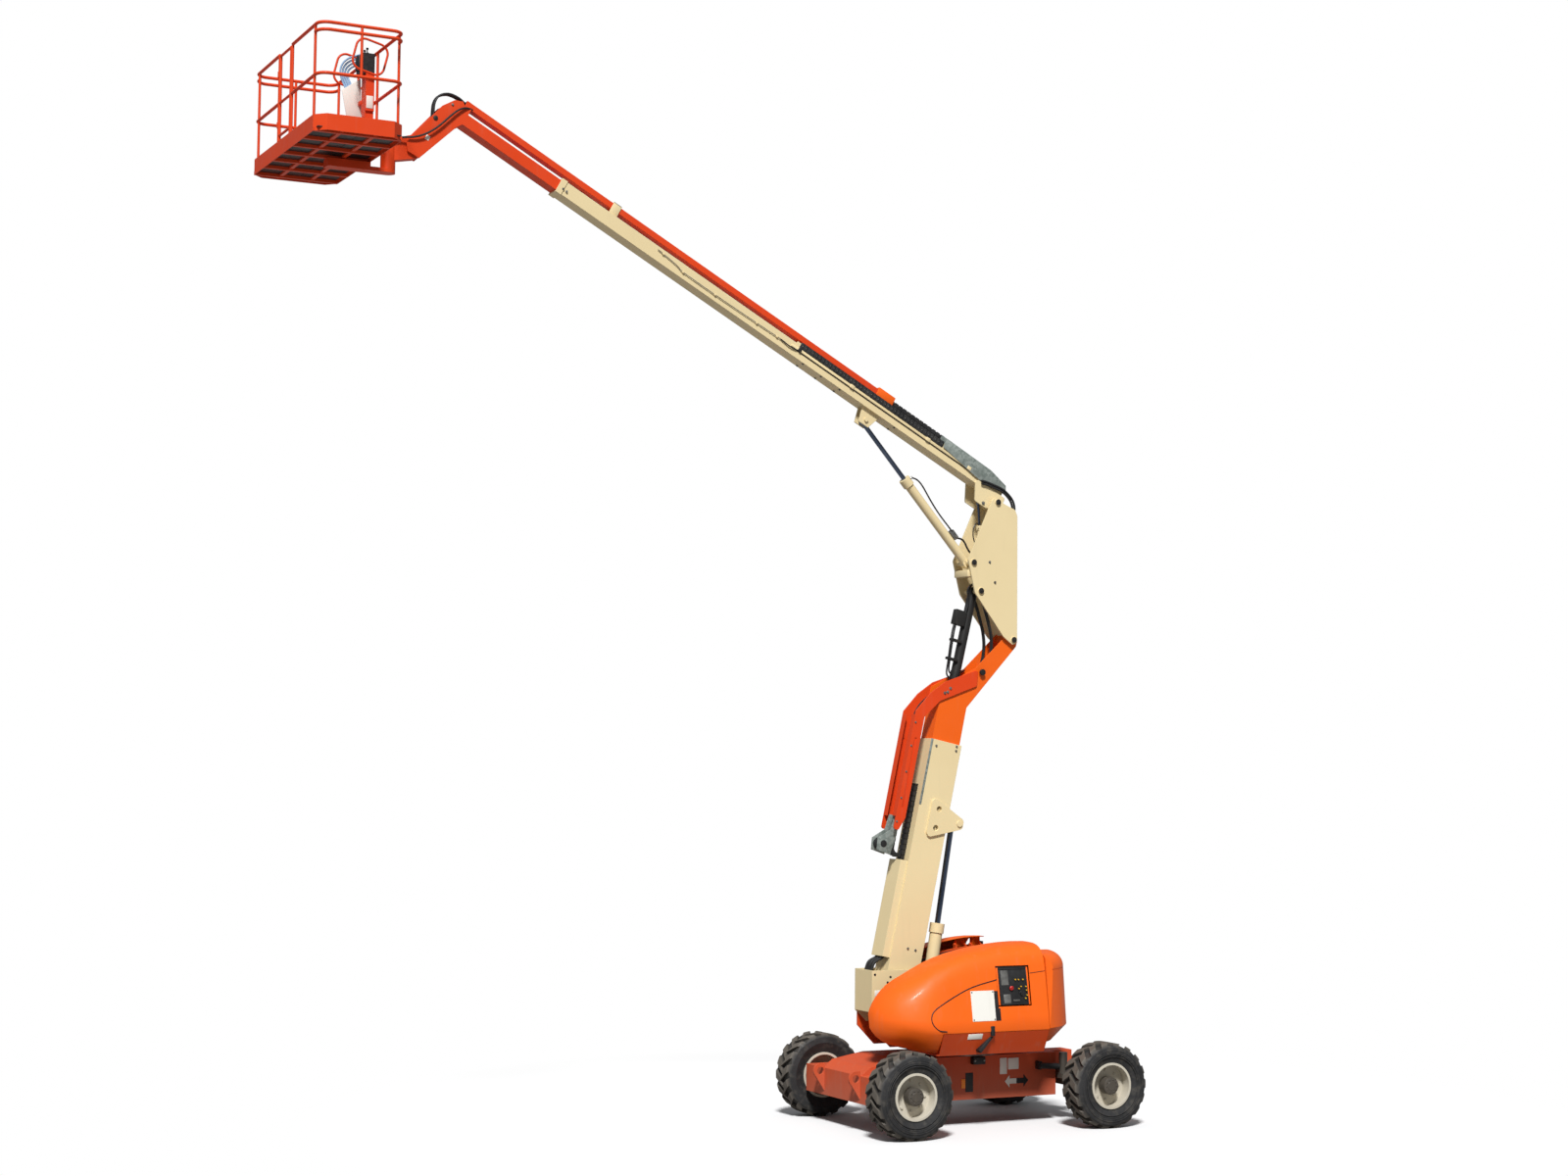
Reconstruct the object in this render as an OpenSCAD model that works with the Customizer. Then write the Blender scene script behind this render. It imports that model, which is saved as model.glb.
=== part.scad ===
// Articulating boom lift on four wheels.
// Millimetres, +Z up. The origin is on the ground under the slewing axis.
// +X points to the steered axle and the counterweight, -X to the platform.
// The tower, the main boom and the platform stand in the raised working pose.

/* [Chassis] */
// Distance between the axles
wheelbase = 2500; // [2400:10:2650]
// Distance between the wheel centres on one axle
track = 2150; // [2100:10:2250]
// Height of the frame's underside above the ground
frame_low = 320; // [290:5:340]
// Height of the frame's deck above the ground
frame_top = 780; // [760:5:800]
// Width of the frame between the wheels
frame_w = 900; // [800:10:960]
// Thickness of the frame's plates
frame_plate = 25; // [16:1:30]
// Bore radius of the tie-down lugs
lug_bore_r = 42; // [30:1:45]
// Thickness of the tie-down lugs
lug_t = 30; // [20:1:40]

/* [Wheels] */
// Tyre diameter over the lugs
tyre_d = 944; // [900:2:980]
// Tyre width
tyre_w = 360; // [320:5:380]
// Rim diameter at the bead seat
rim_d = 480; // [460:5:500]
// Spindle radius
spindle_r = 60; // [50:1:70]

/* [Turntable] */
// Height of the slewing ring
ring_h = 70; // [60:1:80]
// Outer radius of the slewing ring
ring_r = 480; // [430:10:520]
// Thickness of the turntable's plate
deck_t = 40; // [30:1:45]
// Reach of the rounded tail behind the slewing axis
tail_r = 1236; // [1200:4:1300]
// Half width of the hoods
hood_y = 1000; // [960:5:1040]
// Highest point of the hoods
hood_top = 2045; // [2000:5:2100]
// Wall of the hoods
hood_wall = 8; // [6:0.5:12]

/* [Tower] */
// Tower elevation
tower_deg = 78; // [70:0.5:80]
// Length of the tower's base section above its pivot
tower_l = 2790; // [2700:10:2900]
// Depth of the base section
tower_d = 400; // [380:5:420]
// Width of the base section
tower_w = 300; // [280:5:310]
// Wall of the tower's tubes
tower_wall = 8; // [6:0.5:12]
// Length of the moving section's straight tube above the base section
tower_stick = 440; // [400:10:500]

/* [Upright] */
// Distance between the upright's lower pin and the boom's pivot
upright_h = 1582; // [1550:2:1620]
// Width over the upright's plates
upright_w = 360; // [350:2:380]
// Thickness of the upright's plates
upright_plate = 22; // [16:1:25]

/* [Main boom] */
// Main boom elevation
boom_deg = 28.6; // [10:0.1:40]
// Length of the base section from the boom's pivot
boom_l = 6280; // [6200:10:6400]
// Height of the base section
boom_h = 152; // [145:1:160]
// Width of the base section
boom_w = 200; // [190:2:210]
// Wall of the boom's tubes
boom_wall = 6; // [5:0.5:8]
// Length of the moving section that stands out of the base
fly_out = 1200; // [1000:10:1400]

/* [Platform] */
// Platform width across the boom
platform_w = 2400; // [2200:10:2500]
// Platform depth along the boom
platform_d = 910; // [880:5:940]
// Height of the top rail over the platform's underside
rail_h = 1100; // [1050:5:1150]
// Height of the toe boards
toe_h = 165; // [150:1:180]
// Diameter of the rail tubes
rail_tube = 34; // [28:1:40]

/* [Hidden] */
$fn = 48;

// Shared clearances
seat_gap = 0.3;
run_gap = 0.5;
swing_gap = 5;
overrun = 2;
weld = 3;

// Paints
orange = "#ea6a1f";
tan = "#cdbf98";
dark = "#2b2a29";
steel = "#b9bcc0";
grey = "#8a918d";
cream = "#cfcabb";

// Chassis places
axle_x = wheelbase / 2;
wheel_y = track / 2;
axle_z = tyre_d / 2;
beam_reach = 260;
beam_back = 200;
beam_front_x = -axle_x - beam_reach;
beam_rear_x = beam_back - axle_x;
beam_top = 622;
beam_end_y = 850;
nose_top = 710;
nose_set = 140;
shoulder_set = 250;
rear_set = 240;
nose_x = -axle_x - nose_set;
shoulder_x = shoulder_set - axle_x;
frame_rear_x = axle_x - rear_set;
frame_side_low = 300;
hub_r = 130;
hub_end_y = 985;
lug_y = 420;
lug_reach = 50;
lug_z = 590;
lug_r = 85;
lug_drop = 230;

// Steered axle
kingpin_y = 810;
kingpin_r = 35;
king_boss_r = 70;
king_boss_h = 160;
axle_beam_w = 160;
axle_beam_h = 160;
hanger_t = 30;
hanger_w = 240;
hanger_low = 400;
hanger_set = 190;
hanger_end_x = axle_x + hanger_set;
fork_t = 40;
fork_w = 130;
fork_web = 40;
arm_reach = 200;
arm_t = 25;
arm_w = 80;
tie_r = 22;
tie_eye_r = 36;
tie_eye_h = 50;
lock_set = 190;
lock_x = axle_x - lock_set;
lock_y = 530;
lock_r = 48;
lock_h = 290;
lock_foot_h = 60;

// Rims
rim_wall = 10;
rim_flange = 16;
rim_flange_w = 14;
rim_disc_t = 14;
rim_disc_y = 25;
rim_boss_r = 115;
rim_boss_in = 70;
cap_r = 96;
cap_reach = 105;
nut_count = 8;
nut_r = 17;
nut_h = 16;
nut_circle = 165;

// Turntable places
ring_bore_r = 380;
deck_z = frame_top + ring_h;
deck_top = deck_z + deck_t;
deck_r = 740;
mount_out_y = 200;
mount_plate = 25;
mount_in_y = mount_out_y - mount_plate;
mount_front_x = -1240;
mount_top = 1740;
mount_split = 1150;
bulk_y = 400;
bulk_t = 10;
bulk_drop = 105;
floor_t = 12;
floor_y = 880;
hood_in_y = 425;
hood_low = 1100;
hood_crease = 1115;
hood_end_x = 580;
hood_start_x = -1410;
far_start_x = -950;
hood_gap = 8;
skirt_t = 10;
skirt_tuck = 170;
weight_in_y = 275;
weight_low = 935;
weight_mid = 1757;
weight_draft = 37;
tail_beam_x = 820;
tail_beam_w = 90;
weight_top_r = 170;
engine_x = -430;
engine_l = 760;
engine_y = 470;
engine_w = 380;
engine_h = 620;
panel_x = -50;
panel_w = 410;
panel_low = 1380;
panel_h = 420;
panel_depth = 110;
panel_face_y = 872;
panel_gap = 10;
post_w = 70;
hinge_y = 455;
hinge_z = 1955;
hinge_r = 12;
hinge_l = 150;
hinge_leaf = 20;
hinge_drop = 120;
hinge_xs = [190, 400];

// Tower places
tower_x = -1040;
tower_z = 1600;
tower_pin_r = 45;
tower_boss_r = 92;
fly_gap = 22;
fly_d = tower_d - 2 * tower_wall - fly_gap;
fly_w = tower_w - 2 * tower_wall - fly_gap;
fly_back_z = -(tower_d + fly_d) / 2;
fly_front_z = fly_back_z + fly_d;
fly_low = 900;
elbow_x = tower_l + tower_stick;
tip_x = 4130;
tip_z = -801;
tip_r = 62;
tip_pin_r = 36;
pad_l = 110;
tray_low = 280;
tray_top = 1377;
tray_depth = 90;
tray_w = 262;
tray_wall = 6;
chain_t = 45;
chain_w = 84;
tower_run_low = tray_top;
tower_run_top = 2260;
tower_leg_z = 177;
tower_bend_x = 1500;
tower_leg_top = 2300;
carrier_low = 1690;
carrier_in_z = 145;
carrier_out_z = 265;
carrier_out_y = 152;
carrier_w = 88;
carrier_wall = 7;
ear_x = 1915;
ear_z = -544;
ear_r = 52;
ear_t = 25;
lift_foot_x = -484;
lift_foot_z = 1030;

// Cylinders
lift_pin_r = 30;
tower_barrel_r = 72;
tower_barrel_l = 1220;
tower_rod_r = 32;
tower_stroke = 1030;
gland_r = 84;
gland_l = 110;
eye_w = 90;
level_barrel_r = 56;
level_barrel_l = 1060;
level_rod_r = 30;
level_stroke = 910;
level_foot_x = 2482;
level_foot_z = -200;
main_barrel_r = 52;
main_barrel_l = 1240;
main_rod_r = 26;
main_stroke = 325;
main_gland_r = 66;
main_gland_l = 100;
master_barrel_r = 34;
master_barrel_l = 420;
master_rod_r = 14;
master_stroke = 74;

// Upright places, from its lower pin
boom_dx = -218;
main_foot_dx = -538;
main_foot_dz = 875;
level_pin_dx = -442;
level_pin_dz = 550;
master_foot_dx = -330;
master_foot_dz = 900;
boom_pin_r = 40;
upright_pin_r = 28;
pin_head_r = 36;
pin_head_t = 12;
upright_corner = 40;

// Main boom places
boom_low = 70;
boom_tail = -40;
boss_r = 66;
rear_plate = 20;
rear_plate_y = 118;
rear_corner = 24;
collar_l = 70;
collar_t = 8;
clip_l = 110;
clip_h = 14;
ears_u = 1880;
ears_z = -45;
ears_in_y = 38;
ears_t = 20;
ears_head_r = 24;
eye_drop = 25;
rail_w = 18;
rail_rise = 24;
rail_from = 150;
rail_to = 3050;
main_fly_gap = 16;
main_fly_h = boom_h - 2 * boom_wall - main_fly_gap;
main_fly_w = boom_w - 2 * boom_wall - main_fly_gap / 2;
main_fly_z = boom_low + (boom_h - main_fly_h) / 2;
main_fly_tail = 1560;
fly_end = boom_l + fly_out;
tube_w = 110;
tube_h = 66;
tube_wall = 5;
tube_z = 285;
tube_tail = 1784;
tube_clamp = 75;
nose_lap = 130;
clamp_u = fly_end + swing_gap;
run_from = 215;
run_to = 2970;
bend_u = 910;
leg_z = tube_z + tube_h / 2;
leg_to = 3480;
guard_t = 5;
guard_y = 66;
master_u = 133;
master_z = -78;
nose_u = 7847;
nose_z = -434;
nose_plate = 16;
nose_pin_r = 30;

// Platform places
platform_x = -7592;
platform_z = 10205;
rotor_x = -6930;
rotor_r = 78;
rotor_h = 250;
support_w = 120;
arm_plate = 40;
arm_drop = 45;
toe_t = 6;
toe_chamfer = 110;
floor_rise = 40;
floor_plate = 5;
rib_w = 40;
rib_rows = 7;
rib_drop = 12;
bend_r = 110;
rail_inset = 24;
post_r = 14;
second_rail = 90;
mid_rail = 525;
gate_from = -225;
gate_to = 255;
gate_gap = 6;
gate_hinge_zs = [320, 850];
sleeve_r = 21;
sleeve_h = 60;
console_y = -210;
console_w = 150;
console_t = 90;
console_h = 870;
stand_w = 110;
stand_step = 480;
box_d = 150;
box_h = 185;
horn_w = 16;
horn_h = 24;
hoop_y = 330;
hoop_x = 350;
hoop_z = 1030;
hoop_l = 340;
hoop_h = 330;
hoop_bend_r = 95;
hoop_r = 12;
hoop_tilt = 14;
strip_x = 170;

// Sign of a side: the near side is -Y
function side_of(near) = near ? -1 : 1;
// Global place of a point in the tower's frame
function tower_at(x, z) = [tower_x + x * cos(tower_deg) - z * sin(tower_deg),
    tower_z + x * sin(tower_deg) + z * cos(tower_deg)];
// Upright's lower pin, boom pivot and the pins between its plates
foot = tower_at(tip_x, tip_z);
boom_x = foot[0] + boom_dx;
boom_z = foot[1] + upright_h;
// Global place of a point in the boom's frame
function boom_at(u, n) = [boom_x - u * cos(boom_deg) + n * sin(boom_deg),
    boom_z + u * sin(boom_deg) + n * cos(boom_deg)];
nose = boom_at(nose_u, nose_z);

// Frames of the moving sections
module in_tower() {
    translate([tower_x, 0, tower_z]) rotate([0, -tower_deg, 0]) children();
}
module in_boom() {
    translate([boom_x, 0, boom_z]) rotate([0, boom_deg, 0]) rotate([0, 0, 180]) children();
}
// Plate of an outline in X and Z, t thick, from y towards +Y
module slab(y, t) {
    translate([0, y + t, 0]) rotate([90, 0, 0]) linear_extrude(t) children();
}
// The same plate on both sides
module slabs(y_out, t) {
    slab(-y_out, t) children();
    slab(y_out - t, t) children();
}
// Round bar along Y
module bar_y(x, z, r, y0, y1) {
    translate([x, y1, z]) rotate([90, 0, 0]) cylinder(r = r, h = y1 - y0);
}
// Box between two corners
module block(from, to) {
    translate(from) cube(to - from);
}
// Square tube along X
module tube_x(x0, x1, w, z0, h, wall) {
    difference() {
        block([x0, -w / 2, z0], [x1, w / 2, z0 + h]);
        block([x0 - overrun, wall - w / 2, z0 + wall], [x1 + overrun, w / 2 - wall, z0 + h - wall]);
    }
}
// Points of an arc round c
function arc(c, r, from, to, steps) =
    [for (k = [0 : steps]) c + r * [cos(from + (to - from) * k / steps),
        sin(from + (to - from) * k / steps)]];
// Outline with every corner rounded
function unit(v) = v / norm(v);
function corner(a, p, b, r, n) = let (u = unit(a - p), v = unit(b - p), half = acos(u * v) / 2,
        c = p + unit(u + v) * r / sin(half), s = p + u * r / tan(half) - c, e = p + v * r / tan(half) - c)
    [for (k = [0 : n]) c + r * unit(s * (n - k) + e * k)];
function soft(p, r, n) = [for (k = [0 : len(p) - 1])
    each corner(p[(k + len(p) - 1) % len(p)], p[k], p[(k + 1) % len(p)], r, n)];
// Turns +X towards a point b seen from a, both in X and Z
module aim(a, b) {
    translate([a[0], 0, a[1]]) rotate([0, -atan2(b[1] - a[1], b[0] - a[0]), 0]) children();
}
function span(a, b) = norm([b[0] - a[0], b[1] - a[1]]);

// Chassis
module frame_outline(inset) {
    polygon([[beam_front_x + inset, frame_low - overrun], [beam_front_x + inset, beam_top - inset],
        [nose_x, nose_top - inset], [shoulder_x, frame_top - inset],
            [frame_rear_x - inset, frame_top - inset],
        [frame_rear_x - inset, frame_side_low], [shoulder_x, frame_side_low], [beam_rear_x, frame_low]]);
}
module chassis_frame() {
    color(orange) difference() {
        union() {
            difference() {
                slab(-frame_w / 2, frame_w) frame_outline(0);
                slab(frame_plate - frame_w / 2, frame_w - 2 * frame_plate)
                    translate([0, -overrun]) frame_outline(frame_plate);
                block([beam_front_x - overrun, -frame_w, 0], [beam_rear_x, frame_w, frame_low]);
            }
            for (s = [-1, 1]) beam_end(s);
            for (s = [-1, 1]) lug(s * lug_y, beam_front_x, -1, lug_drop);
            for (s = [-1, 1]) lug(s * hanger_w / 4, hanger_end_x, 1, lug_r);
            hanger();
        }
        for (s = [-1, 1]) bar_y(beam_front_x - lug_reach, lug_z, lug_bore_r, s * lug_y - lug_t,
            s * lug_y + lug_t);
        for (s = [-1, 1])
            bar_y(hanger_end_x + lug_reach, lug_z, lug_bore_r, s * hanger_w / 4 - lug_t,
                s * hanger_w / 4 + lug_t);
    }
}
module beam_end(s) {
    mirror([0, s < 0 ? 1 : 0, 0]) {
        difference() {
            block([beam_front_x, frame_w / 2 - frame_plate, frame_low],
                [beam_rear_x, beam_end_y, beam_top]);
            block([beam_front_x + frame_plate, frame_w / 2, frame_low - overrun],
                [beam_rear_x - frame_plate, beam_end_y - frame_plate, beam_top - frame_plate]);
        }
        translate([-axle_x, beam_end_y, axle_z]) rotate([-90, 0, 0]) {
            cylinder(r = hub_r, h = hub_end_y - beam_end_y);
            cylinder(r = spindle_r, h = wheel_y + rim_disc_y - beam_end_y);
        }
    }
}
// Tie-down lug: round head with its bore, tapering below by its drop
module lug(y, x, way, drop) {
    head = concat(arc([lug_reach, 0], lug_r, 90, -50, 14), [[-weld, -drop], [-weld, lug_r]]);
    slab(y - lug_t / 2, lug_t) translate([x, lug_z]) polygon([for (p = head) [way * p[0], p[1]]]);
}
module hanger() {
    deck = frame_top - frame_plate;
    block([frame_rear_x - frame_plate, -hanger_w / 2, axle_z + axle_beam_h / 2 + swing_gap],
        [hanger_end_x, hanger_w / 2, deck]);
    for (x = [axle_x - axle_beam_w / 2 - hanger_t, axle_x + axle_beam_w / 2])
        block([x, -hanger_w / 2, hanger_low], [x + hanger_t, hanger_w / 2, deck]);
}
module steer_axle() {
    color(dark) {
        difference() {
            union() {
                block([axle_x - axle_beam_w / 2 + seat_gap, -kingpin_y, axle_z - axle_beam_h / 2],
                    [axle_x + axle_beam_w / 2 - seat_gap, kingpin_y, axle_z + axle_beam_h / 2]);
                for (s = [-1, 1]) translate([axle_x, s * kingpin_y, axle_z - king_boss_h / 2])
                    cylinder(r = king_boss_r, h = king_boss_h);
            }
            for (s = [-1, 1]) translate([axle_x, s * kingpin_y, 0])
                cylinder(r = kingpin_r + run_gap, h = tyre_d);
        }
        for (s = [-1, 1]) lockout(s * lock_y);
    }
}
// Axle lockout cylinder on its foot, beside the frame
module lockout(y) {
    foot_z = axle_z + axle_beam_h / 2 - lock_foot_h;
    block([lock_x - lock_r, y - lock_r, foot_z], [axle_x, y + lock_r, foot_z + lock_foot_h]);
    translate([lock_x, y, foot_z]) cylinder(r = lock_r, h = lock_h);
}
module slewing_ring() {
    color(steel) translate([0, 0, frame_top]) difference() {
        cylinder(r = ring_r, h = ring_h, $fn = 96);
        translate([0, 0, -overrun]) cylinder(r = ring_bore_r, h = ring_h + 2 * overrun, $fn = 96);
    }
}
// Steering knuckle: fork round the axle's boss, kingpin, spindle and steering arm
module knuckle(near) {
    s = side_of(near);
    low = axle_z - king_boss_h / 2 - run_gap;
    high = axle_z + king_boss_h / 2 + run_gap;
    out = kingpin_y + king_boss_r + swing_gap;
    color(dark) mirror([0, s < 0 ? 1 : 0, 0]) {
        translate([axle_x, kingpin_y, low - fork_t]) cylinder(r = kingpin_r, h = high - low + 2 * fork_t);
        for (z = [low - fork_t, high]) {
            block([axle_x - fork_w / 2, kingpin_y, z], [axle_x + fork_w / 2, out + fork_web, z + fork_t]);
            translate([axle_x, kingpin_y, z]) cylinder(r = fork_w / 2, h = fork_t);
        }
        block([axle_x - fork_w / 2, out, low - fork_t],
            [axle_x + fork_w / 2, out + fork_web, high + fork_t]);
        translate([axle_x, out, axle_z]) rotate([-90, 0, 0])
            cylinder(r = spindle_r, h = wheel_y + rim_disc_y - out);
        block([axle_x, kingpin_y - arm_w / 2, low - fork_t],
            [axle_x + arm_reach, kingpin_y + arm_w / 2, low - fork_t + arm_t]);
        translate([axle_x + arm_reach, kingpin_y, low - fork_t]) cylinder(r = arm_w / 2, h = arm_t);
    }
}
module knuckle_near() { knuckle(true); }
module knuckle_far() { knuckle(false); }
module tie_rod() {
    z = axle_z - king_boss_h / 2 - run_gap - fork_t + arm_t + seat_gap;
    color(dark) {
        for (s = [-1, 1]) translate([axle_x + arm_reach, s * kingpin_y, z])
            cylinder(r = tie_eye_r, h = tie_eye_h);
        bar_y(axle_x + arm_reach, z + tie_eye_h / 2, tie_r, -kingpin_y, kingpin_y);
    }
}

// Wheels
module at_wheel(front, near) {
    translate([front ? -axle_x : axle_x, side_of(near) * wheel_y, axle_z])
        rotate([near ? 90 : -90, 0, 0]) children();
}
// Half section of the tyre: radius against the distance from its middle
tyre_shoulder_share = 0.36;
tyre_bead_share = 0.40;
tyre_bulge_share = 0.55;
tyre_crown_share = 0.80;
tread_count = 18;
tread_depth = 40;
tread_gap = 64;
tread_lap = 14;
tread_tilt = 33;
tread_step_share = 0.5;
module tyre_form() {
    r_out = tyre_d / 2;
    r_in = rim_d / 2 + seat_gap;
    r_seat = r_in + rim_flange + swing_gap;
    r_bulge = r_in + tyre_bulge_share * (r_out - r_in);
    shoulder = tyre_shoulder_share * tyre_w;
    bead = tyre_bead_share * tyre_w;
    r_crown = r_in + tyre_crown_share * (r_out - r_in);
    crown = (tyre_w / 2 + shoulder) / 2 + tread_lap;
    color(dark) difference() {
        tyre_blank(r_in, r_seat, r_bulge, r_crown, r_out, bead, crown, shoulder);
        for (s = [0, 1]) mirror([0, 0, s]) for (k = [0 : tread_count - 1])
            rotate([0, 0, (k + s * tread_step_share) * 360 / tread_count]) tread_cut(r_out);
    }
}
// Slanted gap between two lugs, from the middle of the tread out over its shoulder
module tread_cut(r_out) {
    translate([r_out - tread_depth, 0, 0]) rotate([-tread_tilt, 0, 0])
        block([0, -tread_gap / 2, -tread_lap], [tread_depth + overrun, tread_gap / 2, tyre_w]);
}
module tyre_blank(r_in, r_seat, r_bulge, r_crown, r_out, bead, crown, shoulder) {
    rotate_extrude($fn = 96)
        polygon([[r_in, -bead], [r_seat, -bead], [r_bulge, -tyre_w / 2], [r_crown, -crown],
            [r_out, -shoulder],
            [r_out, shoulder], [r_crown, crown], [r_bulge, tyre_w / 2], [r_seat, bead], [r_in, bead]]);
}
// Dished rim with its disc, boss and drive cap, outwards along +Z
module rim_form() {
    r = rim_d / 2;
    half = tyre_bead_share * tyre_w;
    color(cream) difference() {
        union() {
            rotate_extrude($fn = 96) polygon([
                [r - rim_wall, -half - rim_flange_w], [r + rim_flange, -half - rim_flange_w],
                    [r + rim_flange, -half - seat_gap],
                [r, -half - seat_gap], [r, half + seat_gap], [r + rim_flange, half + seat_gap],
                [r + rim_flange, half + rim_flange_w], [r - rim_wall, half + rim_flange_w]]);
            translate([0, 0, rim_disc_y - rim_disc_t]) cylinder(r = r - rim_wall / 2, h = rim_disc_t);
            translate([0, 0, -rim_boss_in]) cylinder(r = rim_boss_r, h = rim_boss_in + rim_disc_y);
            cylinder(r = cap_r, h = cap_reach);
            for (k = [0 : nut_count - 1]) rotate([0, 0, k * 360 / nut_count])
                translate([nut_circle, 0, rim_disc_y - weld])
                    cylinder(r = nut_r, h = nut_h + weld, $fn = 6);
        }
        translate([0, 0, -rim_boss_in - overrun])
            cylinder(r = spindle_r + run_gap, h = rim_boss_in + overrun + rim_disc_y + run_gap);
    }
}
module tyre_front_near() { at_wheel(true, true) tyre_form(); }
module tyre_front_far() { at_wheel(true, false) tyre_form(); }
module tyre_rear_near() { at_wheel(false, true) tyre_form(); }
module tyre_rear_far() { at_wheel(false, false) tyre_form(); }
module rim_front_near() { at_wheel(true, true) rim_form(); }
module rim_front_far() { at_wheel(true, false) rim_form(); }
module rim_rear_near() { at_wheel(false, true) rim_form(); }
module rim_rear_far() { at_wheel(false, false) rim_form(); }

// Turntable
mount_chamfer = 130;
mount_toe_x = mount_front_x + mount_chamfer;
mount_back_x = -450;
mount_back_z = 1400;
mount_knee_x = -700;
brow_x = -1000;
brow_z = 1110;
cheek_end_x = -330;
module turntable_frame() {
    cheek_x = mount_front_x + mount_plate;
    color(orange) {
        translate([0, 0, deck_z]) cylinder(r = deck_r, h = deck_t, $fn = 96);
        slabs(mount_out_y, mount_plate) polygon([[cheek_x, mount_split + mount_toe_x - cheek_x],
            [mount_toe_x, mount_split], [cheek_end_x, mount_split], [cheek_end_x, deck_top],
                [brow_x, deck_top],
            [cheek_x, brow_z]]);
        bar_y(lift_foot_x, lift_foot_z, lift_pin_r, mount_plate - mount_out_y, mount_out_y - mount_plate);
        for (s = [-1, 1]) mirror([0, s < 0 ? 1 : 0, 0]) {
            side_floor(s < 0 ? hood_start_x : far_start_x);
            block([mount_back_x / 2, weight_in_y, deck_top - deck_t / 2],
                [tail_beam_x, weight_in_y + tail_beam_w, weight_low]);
        }
    }
}
// Floor, tucked skirt and bulkhead under one hood
module side_floor(start) {
    x0 = hood_x(skirt_share, start);
    out_y = hood_y - hood_wall;
    block([x0, mount_out_y, deck_z], [hood_end_x, floor_y, deck_z + floor_t]);
    rotate([90, 0, 90]) translate([0, 0, x0 + swing_gap]) linear_extrude(hood_end_x - x0 - swing_gap)
        polygon([[floor_y - skirt_t, deck_z], [floor_y, deck_z], [out_y, hood_low - swing_gap],
            [out_y - skirt_t, hood_low - swing_gap]]);
    slab(bulk_y, bulk_t) polygon(concat([[x0, deck_z], [hood_end_x, deck_z]],
        [for (k = [len(hood_rows_shares) - 1 : -1 : 0]) if (hood_rows_shares[k] > skirt_share)
            [hood_x(hood_rows_shares[k], start), hood_crown(hood_rows_shares[k]) - bulk_drop]]));
    for (x = hinge_xs) {
        translate([x, hinge_y, hinge_z]) rotate([0, 90, 0]) cylinder(r = hinge_r, h = hinge_l);
        for (dx = [0, hinge_l - hinge_leaf])
            block([x + dx, bulk_y + bulk_t / 2, hinge_z - hinge_drop],
                [x + dx + hinge_leaf, hinge_y + hinge_r, hinge_z]);
    }
}
module tower_mount() {
    color(tan) {
        slabs(mount_out_y, mount_plate) difference() {
            polygon([[mount_front_x, mount_split + (mount_toe_x - mount_front_x)],
                [mount_front_x, mount_top],
                [mount_knee_x, mount_top], [mount_back_x, mount_back_z], [mount_back_x, mount_split],
                [mount_toe_x, mount_split]]);
        }
        block([mount_front_x, -mount_in_y, mount_split + (mount_toe_x - mount_front_x)],
            [mount_front_x + mount_plate, mount_in_y, mount_top]);
        bar_y(tower_x, tower_z, tower_pin_r, -mount_in_y, mount_in_y);
    }
}
// Hoods: lofted shells with a bulbous nose, a soft shoulder and a crease along the lower edge.
// Shares run along the hood from its nose, across its width, and up from the deck to its highest point.
hood_rows_shares = [0, 0.008, 0.022, 0.044, 0.072, 0.108, 0.153, 0.208, 0.265, 0.33, 0.40, 0.48, 0.57,
    0.66,
    0.75, 0.83, 0.91, 1];
hood_top_shares = [[0, 0.365], [0.008, 0.41], [0.022, 0.458], [0.044, 0.513], [0.072, 0.568],
    [0.108, 0.622],
    [0.153, 0.668], [0.208, 0.713], [0.265, 0.762], [0.321, 0.808], [0.40, 0.860], [0.48, 0.901],
        [0.57, 0.936],
    [0.66, 0.962], [0.75, 0.982], [0.83, 0.994], [0.91, 1], [1, 0.998]];
hood_low_shares = [[0, 0.235], [0.008, 0.200], [0.022, 0.163], [0.044, 0.125], [0.072, 0.095],
    [0.108, 0.078],
    [0.153, 0.064], [0.208, 0.035], [0.265, 0.018], [0.32, 0.012], [1, 0.012]];
hood_wide_shares = [[0, 0.14], [0.008, 0.26], [0.022, 0.38], [0.044, 0.51], [0.072, 0.63], [0.108, 0.745],
    [0.153, 0.845], [0.208, 0.925], [0.265, 0.975], [0.33, 1], [1, 1]];
skirt_share = 0.318;
body_share = 0.40;
nose_crease_share = 0.30;
// Upper half of a section, from the inner edge over the shoulder to the crease: body against nose
body_upper_shares = [[0, 1], [0.20, 0.999], [0.38, 0.993], [0.52, 0.975], [0.62, 0.945], [0.70, 0.898],
    [0.76, 0.835],
    [0.805, 0.74], [0.85, 0.58], [0.905, 0.38], [0.96, 0.17], [1, 0]];
nose_upper_shares = [for (k = [0 : 11]) [sin(k * 90 / 11), cos(k * 90 / 11)]];
body_lower_shares = [[0.96, 0.2], [0.92, 0.4], [0.875, 0.6], [0.83, 0.8], [0.79, 1]];
nose_lower_shares = [[0.95, 0.25], [0.87, 0.48], [0.75, 0.69], [0.60, 0.86], [0.42, 1]];
hood_base = deck_z + floor_t + swing_gap;
hood_rise = hood_top - hood_base;
function hood_x(share, start) = start + share * (hood_end_x - start);
function hood_crown(share) = hood_base + hood_rise * lookup(share, hood_top_shares);
function blend(share) = let (t = min(1, share / body_share)) t * t * (3 - 2 * t);
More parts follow.
